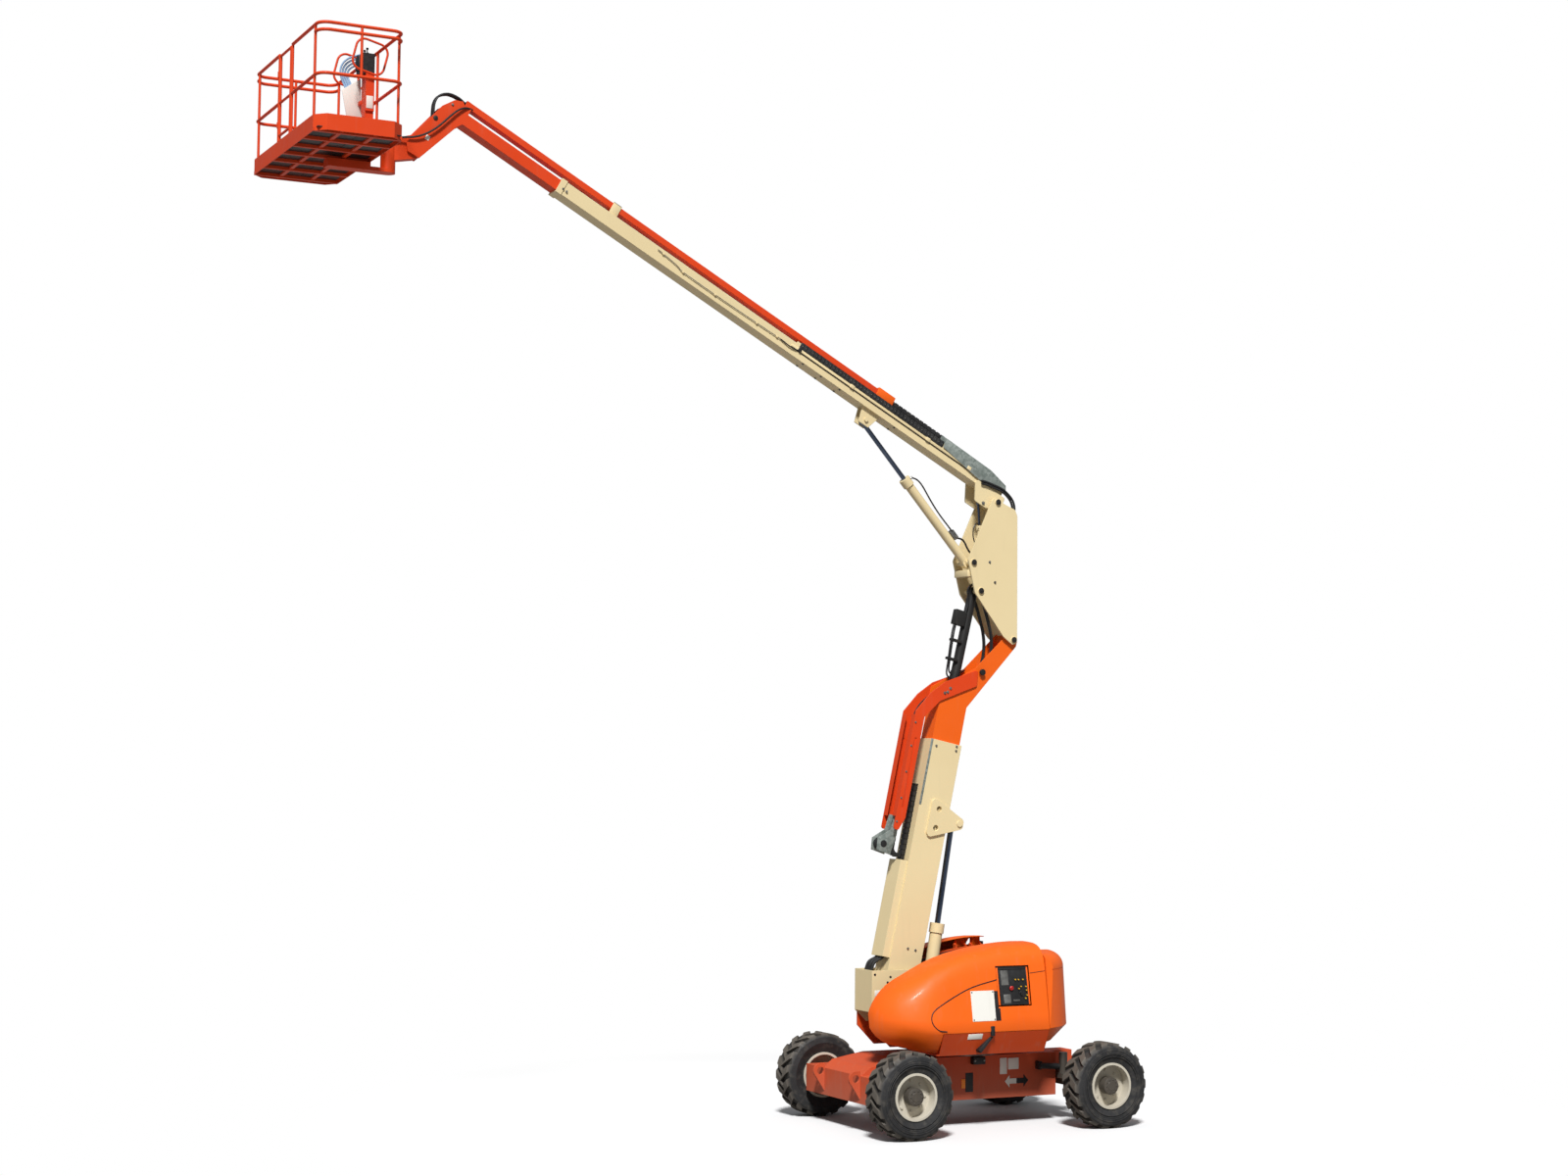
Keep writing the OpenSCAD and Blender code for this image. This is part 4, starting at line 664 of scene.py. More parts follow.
def dress(mesh: bpy.types.Mesh, name: str, finish: Finish, body: str | None) -> bpy.types.Object:
    """Makes an object of a mesh with its finish.

    Args:
        mesh: The finished mesh.
        name: Name of the piece.
        finish: Its finish.
        body: Body that it rides on, or none where it rides on no body.

    Returns:
        The piece's object.
    """
    mesh.materials.clear()
    mesh.materials.append(finish.material())
    mesh.shade_smooth()
    mesh.set_sharp_from_angle(angle=SHARP)
    item = bpy.data.objects.new(name, mesh)
    bpy.context.scene.collection.objects.link(item)
    if body:
        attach(item, body)
    LOG.info("%s: %d faces, %s", name, len(mesh.polygons), finish.name)
    return item


class Sweep:
    """A route through points and the round tube along it."""

    def __init__(self, points: Sequence[Point]) -> None:
        """Keeps the route's points."""
        self.points = [Vector(p) for p in points]

    def smooth(self, count: int) -> list[Vector]:
        """Curves the route through its points.

        Args:
            count: Number of points along the curve.

        Returns:
            Points at even steps along it.
        """
        before = 2 * self.points[0] - self.points[1]
        after = 2 * self.points[-1] - self.points[-2]
        ends = [before, *self.points, after]
        dense: list[Vector] = []
        for a, b, c, d in zip(ends, ends[1:], ends[2:], ends[3:]):
            for k in range(CURVE_STEPS):
                t = k / CURVE_STEPS
                dense.append(0.5 * (2 * b + (c - a) * t + (2 * a - 5 * b + 4 * c - d) * t * t
                                    + (3 * b - a - 3 * c + d) * t ** 3))
        dense.append(self.points[-1].copy())
        return Sweep(dense).even(count)

    def eased(self, passes: int) -> list[Vector]:
        """Opens the route's tight bends, with its ends held.

        Args:
            passes: How often each point is drawn to its neighbours.

        Returns:
            Points at even steps along the eased route.
        """
        points = [p.copy() for p in self.points]
        for _ in range(passes):
            inner = (0.5 * b + 0.25 * (a + c) for a, b, c in zip(points, points[1:], points[2:]))
            points = [points[0], *inner, points[-1]]
        return Sweep(points).even(len(points)) if passes else points

    def length(self) -> float:
        """Gives the route's length."""
        return sum((b - a).length for a, b in zip(self.points, self.points[1:]))

    def even(self, count: int) -> list[Vector]:
        """Gives points at even steps along the route."""
        step = self.length() / (count - 1)
        out, need = [self.points[0].copy()], step
        for a, b in zip(self.points, self.points[1:]):
            gap = (b - a).length
            while need <= gap + 1e-9 and len(out) < count - 1:
                out.append(a.lerp(b, need / gap))
                need += step
            need -= gap
        out.append(self.points[-1].copy())
        return out

    def tube(self, radius: float) -> bpy.types.Mesh:
        """Makes a closed round tube along the route.

        Args:
            radius: Radius of the tube.

        Returns:
            A mesh in the machine's frame.
        """
        curve = bpy.data.curves.new("route", "CURVE")
        curve.dimensions = "3D"
        curve.bevel_depth = radius
        curve.bevel_resolution = 3
        curve.use_fill_caps = True
        spline = curve.splines.new("POLY")
        spline.points.add(len(self.points) - 1)
        for point, place in zip(spline.points, self.points):
            point.co = (*place, 1.0)
        holder = bpy.data.objects.new("route", curve)
        bpy.context.scene.collection.objects.link(holder)
        bpy.context.view_layer.update()
        shown = holder.evaluated_get(bpy.context.evaluated_depsgraph_get())
        mesh = bpy.data.meshes.new_from_object(shown)
        bpy.data.objects.remove(holder)
        bpy.data.curves.remove(curve)
        return mesh


@dataclass
class Hose:
    """A hose between two fittings, which may cross one joint."""

    name: str
    route: Sequence[Point]
    body: str
    diameter: float
    finish: Finish = Finish.HOSE
    other: str | None = None
    start: Point = (0, 0, 0)
    end: Point = (0, 0, 0)
    points: int = 32
    ease: int = 0

    def build(self) -> None:
        path = Sweep(Sweep(self.route).smooth(self.points)).eased(self.ease)
        mesh = Sweep(path).tube(self.diameter / 2)
        item = dress(mesh, self.name, self.finish, None if self.other else self.body)
        if self.other:
            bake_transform(item)


@dataclass
class Studio:
    """Floor, lamp, sky and the photograph's camera."""

    eye: Point = (-15.027, -25.45, 4.079)
    yaw: float = 0.4645
    pitch: float = 0.0665
    roll: float = 0.0086
    lens: float = 58.97
    sensor: float = 36.0
    reach: float = 200.0
    floor_half: float = 60.0
    floor_fade: Band = (2.6, 7.5)
    floor_lit: Colour = (0.3, 0.29, 0.28)
    floor_seen: Colour = (0.8, 0.8, 0.8)
    sky_tint: Colour = (0.93, 0.96, 1.0)
    sky_strength: float = 0.25
    sun_from: Point = (-0.32, -0.58, 0.75)
    sun_energy: float = 4.5
    sun_angle: float = 0.16

    def camera(self) -> None:
        """Puts the camera where the photograph was taken."""
        flat = math.cos(self.pitch)
        ahead = Vector((math.sin(self.yaw) * flat, math.cos(self.yaw) * flat, math.sin(self.pitch)))
        right = Vector((math.cos(self.yaw), -math.sin(self.yaw), 0))
        up = right.cross(ahead)
        side = math.cos(self.roll) * right + math.sin(self.roll) * up
        top = -math.sin(self.roll) * right + math.cos(self.roll) * up
        data = bpy.data.cameras.new("camera")
        data.lens = self.lens
        data.sensor_width = self.sensor
        data.sensor_fit = "HORIZONTAL"
        data.clip_end = self.reach
        camera = bpy.data.objects.new("camera", data)
        matrix = Matrix((side, top, -ahead)).transposed().to_4x4()
        matrix.translation = Vector(self.eye)
        camera.matrix_world = matrix
        bpy.context.scene.collection.objects.link(camera)
        bpy.context.scene.camera = camera

    def sky(self) -> None:
        """Lights the scene softly, white where the camera looks past the object."""
        graph = Graph(bpy.data.worlds.new("studio"))
        bpy.context.scene.world = graph.owner
        fill = graph.nodes["Background"]
        graph.feed(fill, {"Color": self.sky_tint, "Strength": self.sky_strength})
        white = graph.add("Background", {"Color": (1, 1, 1), "Strength": 1.0})
        seen = graph.add("LightPath").outputs["Is Camera Ray"]
        mixer = graph.add("MixShader", {0: seen, 1: fill.outputs[0], 2: white.outputs[0]})
        graph.feed(graph.nodes["World Output"], {"Surface": mixer.outputs[0]})

    def lamp(self) -> None:
        """Adds a soft key lamp from the near side."""
        data = bpy.data.lights.new("key", "SUN")
        data.energy = self.sun_energy
        data.angle = self.sun_angle
        lamp = bpy.data.objects.new("key", data)
        lamp.rotation_euler = Vector(self.sun_from).to_track_quat("Z", "Y").to_euler()
        bpy.context.scene.collection.objects.link(lamp)

    def floor(self) -> None:
        """Lays a pale floor that fades into the white background."""
        mesh = bpy.data.meshes.new("floor")
        shape = bmesh.new()
        bmesh.ops.create_grid(shape, x_segments=1, y_segments=1, size=self.floor_half)
        shape.to_mesh(mesh)
        shape.free()
        floor = bpy.data.objects.new("floor", mesh)
        bpy.context.scene.collection.objects.link(floor)
        surface = Surface("floor")
        length = surface.add("VectorMath", {0: surface.place}, operation="LENGTH")
        far = surface.spread(length.outputs["Value"], *self.floor_fade, FULL)
        camera = surface.add("LightPath").outputs["Is Camera Ray"]
        tone = surface.mix(camera, self.floor_lit, self.floor_seen)
        matt = {"Base Color": tone, "Roughness": 0.9, "Specular IOR Level": 0.1}
        surface.feed(surface.shader, matt)
        seen = surface.add("Math", {0: far, 1: camera}, operation="MULTIPLY").outputs[0]
        glow = surface.add("Emission", {"Strength": 1.0}).outputs[0]
        mixer = surface.add("MixShader", {0: seen, 1: surface.shader.outputs[0], 2: glow})
        surface.feed(surface.nodes["Material Output"], {"Surface": mixer.outputs[0]})
        mesh.materials.append(surface.owner)

    def build(self) -> None:
        """Sets up everything that isn't the machine."""
        bpy.context.scene.view_settings.view_transform = "Standard"
        self.camera()
        self.sky()
        self.lamp()
        self.floor()


@dataclass
class Solids:
    """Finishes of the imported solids, each with the starts of the names that carry it."""

    nodes: dict[str, bpy.types.Object]
    starts: dict[Finish, Sequence[str]] = field(default_factory=lambda: {
        Finish.ORANGE: ("counterweight", "hood", "tower_fly"),
        Finish.ORANGE_DEEP: ("track_carrier", "boom_fly", "push_tube", "console_stand", "platform"),
        Finish.ORANGE_LOW: ("chassis_frame", "turntable_frame"),
        Finish.TAN: ("tower_mount", "tower_base", "tower_tray", "tower_lift_barrel", "upright",
                     "main_lift_barrel", "platform_level_barrel", "boom_base"),
        Finish.BLACK: ("steer_axle", "knuckle", "tie_rod", "upright_level_barrel"),
        Finish.CHROME: ("tower_lift_rod", "upright_level_rod", "main_lift_rod",
                        "platform_level_rod"),
        Finish.CREAM: ("rim",), Finish.TYRE: ("tyre",), Finish.STEEL: ("slewing_ring",),
        Finish.ENGINE: ("engine_block",), Finish.GALVANISED: ("chain_guard",),
        Finish.CHAIN: ("tower_chain", "boom_chain"),
        Finish.PLASTIC: ("ground_controls", "platform_console")})

    def dress(self) -> None:
        """Gives each solid the finish whose start matches its name best."""
        finishes = {start: finish for finish, starts in self.starts.items() for start in starts}
        for name, item in self.nodes.items():
            finish = finishes[max((s for s in finishes if name.startswith(s)), key=len)]
            item.data.materials.clear()
            item.data.materials.append(finish.material())
            LOG.info("%s: %s", name, finish.name)


@dataclass
class Hoods:
    """The two hoods' smooth skins, what is fastened to them and what stands under them."""

    nodes: dict[str, bpy.types.Object]
    groove_shade_line: Outline = ((-0.052, 1.664), (-0.381, 1.587), (-0.655, 1.471), (-0.854, 1.361),
                       (-0.907, 1.285), (-0.898, 1.207), (-0.834, 1.142), (-0.74, 1.126))
    seam: Outline = ((0.375, 1.722), (0.45, 1.729), (0.52, 1.736), (0.575, 1.742))
    lining: Outline = ((-0.43, 1.2), (0.57, 1.2), (0.57, 1.945), (0.286, 1.915), (0.04, 1.875),
                       (-0.185, 1.83), (-0.43, 1.745))
    label: Area = (-0.403, -0.108, 1.222, 1.549)
    strip: Area = (-0.106, -0.042, 1.222, 1.543)
    outside: float = -1.4
    side: float = -0.9
    proud: float = 0.003

    def skin(self, name: str) -> BVHTree:
        """Replaces a faceted shell by a smooth one of the same shape.

        Args:
            name: Name of the node.

        Returns:
            A tree for finding the skin's surface.
        """
        shape = bmesh.new()
        shape.from_mesh(self.nodes[name].data)
        bmesh.ops.remove_doubles(shape, verts=shape.verts, dist=1e-5)
        tree = BVHTree.FromBMesh(shape)
        mesh = bpy.data.meshes.new(name + "_skin")
        shape.to_mesh(mesh)
        shape.free()
        item = dress(mesh, name + "_skin", Finish.ORANGE, name)
        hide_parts(name)
        return tree

    def on_skin(self, tree: BVHTree, x: float, z: float, lift: float) -> Vector:
        """Finds the near skin's surface from outside.

        Args:
            tree: Tree of the skin.
            x: Place along the machine.
            z: Height.
            lift: Distance outside the skin.

        Returns:
            A point of the machine.
        """
        hit = tree.ray_cast(Vector((x, self.outside, z)), Vector((0, 1, 0)))[0]
        return Vector((x, (hit.y if hit else self.side) - lift, z))

    def patch(self, forge: Forge, tree: BVHTree, area: Area) -> None:
        """Lays a thin plate on the near skin.

        Args:
            forge: Piece that takes it.
            tree: Tree of the skin.
            area: Lowest and highest x, lowest and highest z.
        """
        x0, x1, z0, z1 = area
        part = bmesh.new()
        bmesh.ops.create_grid(part, x_segments=10, y_segments=10, size=1.0)
        for vert in part.verts:
            x = x0 + (vert.co.x + 1) / 2 * (x1 - x0)
            z = z0 + (vert.co.y + 1) / 2 * (z1 - z0)
            vert.co = self.on_skin(tree, x, z, self.proud)
        moved = bmesh.ops.extrude_face_region(part, geom=part.faces[:])["geom"]
        backs = [item for item in moved if isinstance(item, bmesh.types.BMVert)]
        bmesh.ops.translate(part, vec=(0, self.proud + 0.002, 0), verts=backs)
        forge.take(part, placed=True)

    def build(self) -> None:
        """Makes the skins and the near hood's plates, seam, a dark line of painted shade along its
        styling crease, latch and bolts.
        """
        self.skin("hood_far")
        tree = self.skin("hood_near")
        with Forge("hood_plate", Finish.PLATE, "hood_near") as forge:
            self.patch(forge, tree, self.label)
        with Forge("hood_trim", Finish.PLASTIC, "hood_near") as forge:
            self.patch(forge, tree, self.strip)
            # A black tube along the hood's styling crease: painted shade in the crease.
            line = Sweep([(x, 0, z) for x, z in self.groove_shade_line]).smooth(60)
            forge.pipe([self.on_skin(tree, p.x, p.z, 0.001).xzy for p in line], 0.006, False)
            forge.pipe([self.on_skin(tree, x, z, 0.0).xzy for x, z in self.seam], 0.004)
            forge.wedge((-0.182, 1.06, -1.01), (-0.132, 1.165, -0.985), 0.006, 0.005)
        with Forge("hood_reveal", Finish.ORANGE, "hood_near") as forge:
            for x0, x1 in ((-0.0495, -0.0285), (0.3385, 0.3595)):
                forge.wedge((x0, 1.384, -0.952), (x1, 1.79, -0.868), 0.074, 0.002)
        with Forge("hood_bolts", Finish.STEEL, "hood_near") as forge:
            for x, z in itertools.product((-0.388, -0.123), (1.535, 1.238)):
                forge.bolt(self.on_skin(tree, x, z, 0.004).xzy, (0, 0, -1), 0.006)
        self.under()

    def under(self) -> None:
        """Makes what the turntable carries under and between the hoods."""
        with Forge("skirt_tag", Finish.PLATE, "turntable") as forge:
            forge.wedge((-0.461, 1.026, -0.964), (-0.277, 1.087, -0.93), -0.027, 0.002)
            forge.box((-1.204, 1.455, -0.2025), (-1.081, 1.522, -0.198), 0.001)
            forge.box((-1.204, 1.37, -0.2025), (-1.118, 1.445, -0.198), 0.001)
        with Forge("skirt_strap", Finish.PLASTIC, "turntable") as forge:
            strap = ((-0.13, 1.05), (-0.178, 1.05), (-0.322, 0.905), (-0.29, 0.873))
            forge.plate(strap, -0.978, -0.88, 0.006)
        # Thin black discs on the mount's sides: painted shade standing in for its holes.
        with Forge("mount_hole_shade", Finish.PLASTIC, "turntable", signs=BOTH) as forge:
            for x, z in ((-1.202, 1.696), (-1.005, 1.665), (-1.041, 1.604)):
                forge.rod((x, z, 0.199), (x, z, 0.2015), 0.014)
        with Forge("hood_lining", Finish.PLASTIC, "turntable", signs=BOTH) as forge:
            forge.plate(self.lining, 0.386, 0.399, 0.002)
            for low, high, reach in ((1.11, 1.8, 0.8), (1.8, 1.93, 0.7), (1.93, 1.985, 0.62)):
                forge.box((0.555, low, 0.412), (0.565, high, reach), 0.002)


@dataclass
class GroundControls:
    """Bezel, switches and knobs of the leaning panel in the near hood."""

    area: Area = (-0.026, 0.336, 1.386, 1.784)
    foot: float = -0.953
    head: float = -0.877
    back: float = -0.868
    rim: float = 0.014
    out: Point = (0, -0.19, -1)
    yellow: Outline = ((0.178, 1.658), (0.219, 1.657), (0.276, 1.657), (0.216, 1.559),
                       (0.244, 1.582), (0.306, 1.58), (0.312, 1.54), (0.312, 1.487), (0.291, 1.453))
    knob: Outline = ((0, 0), (0.026, 0), (0.026, 0.008), (0.018, 0.012), (0.016, 0.032), (0, 0.034))
    collar: Outline = ((0.017, 0), (0.017, 0.004), (0.012, 0.007), (0, 0.007))
    button: Outline = ((0, 0), (0.014, 0), (0.014, 0.014), (0.024, 0.016), (0.026, 0.024),
                       (0.02, 0.032), (0, 0.034))

    def on_face(self, x: float, z: float, lift: float = 0.0) -> tuple[float, float, float]:
        """Gives a point of the leaning face."""
        share = (z - self.area[2]) / (self.area[3] - self.area[2])
        return x, z, self.foot + share * (self.head - self.foot) - lift

    def sheet(self, forge: Forge, area: Area, lift: float) -> None:
        """Adds a thin plate that lies on the leaning face.

        Args:
            forge: Piece that takes it.
            area: Lowest and highest x, lowest and highest z.
            lift: How far it stands proud.
        """
        x0, x1, z0, z1 = area
        low, top = self.on_face(x0, z0, lift), self.on_face(x1, z1, lift)
        forge.wedge(low, (x1, z1, top[2] + lift + 0.004), top[2] - low[2], 0.001)

    def build(self) -> None:
        """Makes the panel's fittings."""
        x0, x1, z0, z1 = self.area
        with Forge("panel_face", Finish.PLASTIC, "turntable") as forge:
            forge.wedge((x0, z0, self.foot), (x1, z1, self.back), self.head - self.foot, 0.006)
            for area in ((x0, x1, z0, z0 + self.rim), (x0, x1, z1 - self.rim, z1),
                         (x0, x0 + self.rim, z0, z1), (x1 - self.rim, x1, z0, z1)):
                self.sheet(forge, area, 0.006)
            forge.turned(self.knob, self.on_face(0.244, 1.51), self.out)
            for x, z in self.yellow:
                forge.turned(self.collar, self.on_face(x, z), self.out, 24)
        with Forge("panel_plates", Finish.STEEL, "turntable") as forge:
            self.sheet(forge, (x0 + 0.03, 0.098, 1.6, 1.76), 0.002)
            self.sheet(forge, (0.02, 0.11, 1.405, 1.5), 0.002)
            self.sheet(forge, (0.14, 0.222, 1.424, 1.442), 0.006)
        with Forge("panel_toggles", Finish.YELLOW, "turntable") as forge:
            for x, z in self.yellow:
                foot, tip = self.on_face(x, z, 0.005), self.on_face(x, z, 0.026)
                forge.rod(foot, tip, 0.005, 0.008, 0.0015, 16)
        with Forge("panel_stop", Finish.RED, "turntable") as forge:
            forge.turned(self.button, self.on_face(0.119, 1.57), self.out)


@dataclass
class Chassis:
    """Reflectors, blank plates, arrows, lock box, cylinder and a black patch of painted shade on
    the frame's sides.
    """

    back: float = 0.448
    front: float = 0.454
    lock_front: float = 0.52

    def arrow(self, tip: float, neck: float, tail: float) -> Outline:
        """Gives the outline of an arrow that lies along the frame."""
        return ((tip, 0.479), (neck, 0.409), (neck, 0.45), (tail, 0.45), (tail, 0.508),
                (neck, 0.508), (neck, 0.548))

    def flank(self, name: str, signs: Signs) -> None:
        """Makes what is fastened to one side of the frame.

        Args:
            name: Name of that side.
            signs: Its sign.
        """
        with Forge(f"reflector_{name}", Finish.AMBER, "chassis", signs=signs) as forge:
            forge.box((-0.235, 0.427, self.back), (-0.185, 0.529, 0.458), 0.003)
        with Forge(f"frame_plates_{name}", Finish.PLATE, "chassis", signs=signs) as forge:
            forge.box((0.268, 0.562, self.back), (0.36, 0.742, self.front), 0.001)
            forge.box((0.376, 0.61, self.back), (0.515, 0.737, self.front), 0.001)
            forge.plate(self.arrow(0.334, 0.395, 0.486), self.back, self.front, 0.0)
        with Forge(f"frame_arrow_{name}", Finish.PLASTIC, "chassis", signs=signs) as forge:
            forge.plate(self.arrow(0.642, 0.581, 0.487), self.back, self.front, 0.0)
            forge.box((-0.115, 0.69, 0.446), (0.042, 0.775, self.lock_front), 0.008)
            # A thin black plate beside the reflector: painted shade of the bracket there.
            forge.box((-0.18, 0.383, 0.447), (-0.081, 0.596, 0.453), 0.002)
            forge.rod((0.741, 0.645, 0.53), (1.0, 0.625, 0.53), 0.034, edge=0.004)
            forge.box((0.735, 0.6, 0.446), (0.775, 0.69, 0.54), 0.005)
        with Forge(f"frame_bolts_{name}", Finish.STEEL, "chassis", signs=signs) as forge:
            for x in (-0.095, 0.022):
                forge.bolt((x, 0.733, self.lock_front), OUT, 0.009)

    def build(self) -> None:
        """Makes the fittings of both sides."""
        for name, sign in SIDES:
            self.flank(name, (sign,))


@dataclass
class Wheels:
    """Hub covers, sidewall ribs and valves of the four wheels."""

    x: float = 1.25
    y: float = 1.075
    z: float = 0.472
    half: float = 0.18
    cap: float = 1.233
    hub: Outline = ((0, 0.0015), (0.05, 0.0015), (0.054, -0.003), (0.082, -0.004), (0.094, -0.01),
                    (0.0985, -0.02), (0.0985, -0.115))
    bolts: int = 10
    bolt_circle: float = 0.068
    ribs: Sequence[float] = (0.33, 0.352, 0.392)

    def trim(self, body: str, x: float, signs: Signs) -> None:
        """Makes one wheel's trim.

        Args:
            body: Body of the wheel.
            x: Place of its axle along the machine.
            signs: Sign of its side.
        """
        with Forge(body + "_hub", Finish.BLACK, body, signs=signs) as forge:
            forge.turned(self.hub, (x, self.z, self.cap), OUT, 40)
            for k in range(self.bolts):
                turn = k * math.tau / self.bolts
                over = self.z + self.bolt_circle * math.sin(turn)
                along = x + self.bolt_circle * math.cos(turn)
                forge.bolt((along, over, self.cap - 0.004), OUT, 0.006)
        with Forge(body + "_sidewall", Finish.TYRE, body, signs=signs) as forge:
            for radius in self.ribs:
                forge.ring((x, self.z, self.y + self.half - 0.004), OUT, radius, 0.005, 72)
        with Forge(body + "_valve", Finish.STEEL, body, signs=signs) as forge:
            foot = Vector((x + 0.235, self.z + 0.03, self.y + 0.02))
            forge.rod(foot, foot + Vector((0.005, 0, 0.055)), 0.006, 0.005, 0.001, 12)

    def build(self) -> None:
        """Makes the trim of all wheels."""
        for end, along in (("front", -1), ("rear", 1)):
            for name, sign in SIDES:
                self.trim(f"wheel_{end}_{name}", along * self.x, (sign,))


@dataclass
class Tower:
    """Hoses, bolts, strips and cable drum of the lower arm."""

    side: float = 0.15
    fly_side: float = 0.152
    drum: tuple[float, float] = (1.51, 0.312)
    finger: Outline = ((1.404, 0.205), (1.64, 0.17), (1.86, 0.17), (1.86, 0.238), (1.68, 0.262),
                       (1.56, 0.4), (1.425, 0.385))
    disc: Outline = ((0.052, -0.004), (0.052, 0.003), (0.046, 0.004), (0.042, 0.0), (0, 0.0))

    def hoses(self) -> None:
        """Makes the hoses inside the track carriers and those down to the mount."""
        line = Lines.TOWER.value
        for k, y in enumerate((-0.053, 0.053)):
            route = line.route(((1.75, 0.177, y), (2.1, 0.177, y), (2.6, 0.19, y), (2.95, 0.185, y),
                                (3.16, 0.12, y * 1.2), (3.36, -0.06, y * 1.6),
                                (3.55, -0.25, y * 1.9), (3.68, -0.4, y * 2.0)))
            Hose(f"tower_hose_{k}", route, "tower_fly", 0.016).build()
        for k, y in enumerate((-0.066, 0.0, 0.066)):
            route = [*line.route(((0.44, 0.02, y), (0.36, 0.03, y), (0.27, 0.055, y))),
                     (-1.135, y, 1.822), (-1.172, y, 1.745), (-1.196, y, 1.66)]
            Hose(f"mount_hose_{k}", route, "tower", 0.034, other="turntable",
                 start=(-1.06, y, 1.87), end=(-1.15, y, 1.74), points=24).build()

    def carrier(self) -> None:
        """Makes what moves with the sliding section."""
        with Forge("tower_fly_bolts", Finish.STEEL, "tower_fly", Lines.TOWER, BOTH) as forge:
            for u, n in ((3.348, -0.089), (3.398, -0.116), (3.33, -0.055)):
                forge.bolt((u, n, self.fly_side), OUT, 0.013)
            for u in (1.78, 2.05, 2.35, 2.65, 2.92):
                forge.bolt((u, 0.245, self.fly_side), OUT, 0.009)
        with Forge("carrier_webs", Finish.ORANGE_DEEP, "tower_fly", Lines.TOWER, BOTH) as forge:
            forge.box((1.945, 0.184, 0.138), (2.985, 0.226, 0.1446), 0.001)
        with Forge("crank_rollers", Finish.BLACK, "tower_fly", Lines.TOWER, BOTH) as forge:
            forge.rod((3.672, -0.484, 0.15), (3.672, -0.484, 0.178), 0.036, edge=0.004, sides=32)
        with Forge("carrier_finger", Finish.GALVANISED, "tower_fly", Lines.TOWER, BOTH) as forge:
            forge.plate(self.finger, 0.062, 0.07, 0.002)
        with Forge("carrier_drum", Finish.PLASTIC, "tower_fly", Lines.TOWER) as forge:
            for k in range(6):
                y = -0.06 + k * 0.02
                forge.rod((*self.drum, y), (*self.drum, y + 0.014), 0.068, edge=0.004, sides=32)
            forge.rod((*self.drum, -0.075), (*self.drum, 0.075), 0.04, edge=0.004)

    def build(self) -> None:
        """Makes the arm's fittings and hoses."""
        self.hoses()
        with Forge("tower_bolts", Finish.STEEL, "tower", Lines.TOWER, BOTH) as forge:
            for u, n in ((2.719, -0.076), (2.767, -0.338), (2.717, -0.341), (0.42, -0.2),
                         (0.42, -0.3)):
                forge.bolt((u, n, self.side), OUT, 0.011)
        self.carrier()
        with Forge("tower_discs", Finish.TAN, "tower", Lines.TOWER, BOTH) as forge:
            for u, n in ((2.032, -0.255), (1.819, -0.247)):
                forge.turned(self.disc, (u, n, self.side), OUT, 40)
        with Forge("tower_strips", Finish.GALVANISED, "tower", Lines.TOWER, BOTH) as forge:
            forge.box((2.03, -0.022, 0.147), (2.79, 0.004, 0.154), 0.002)


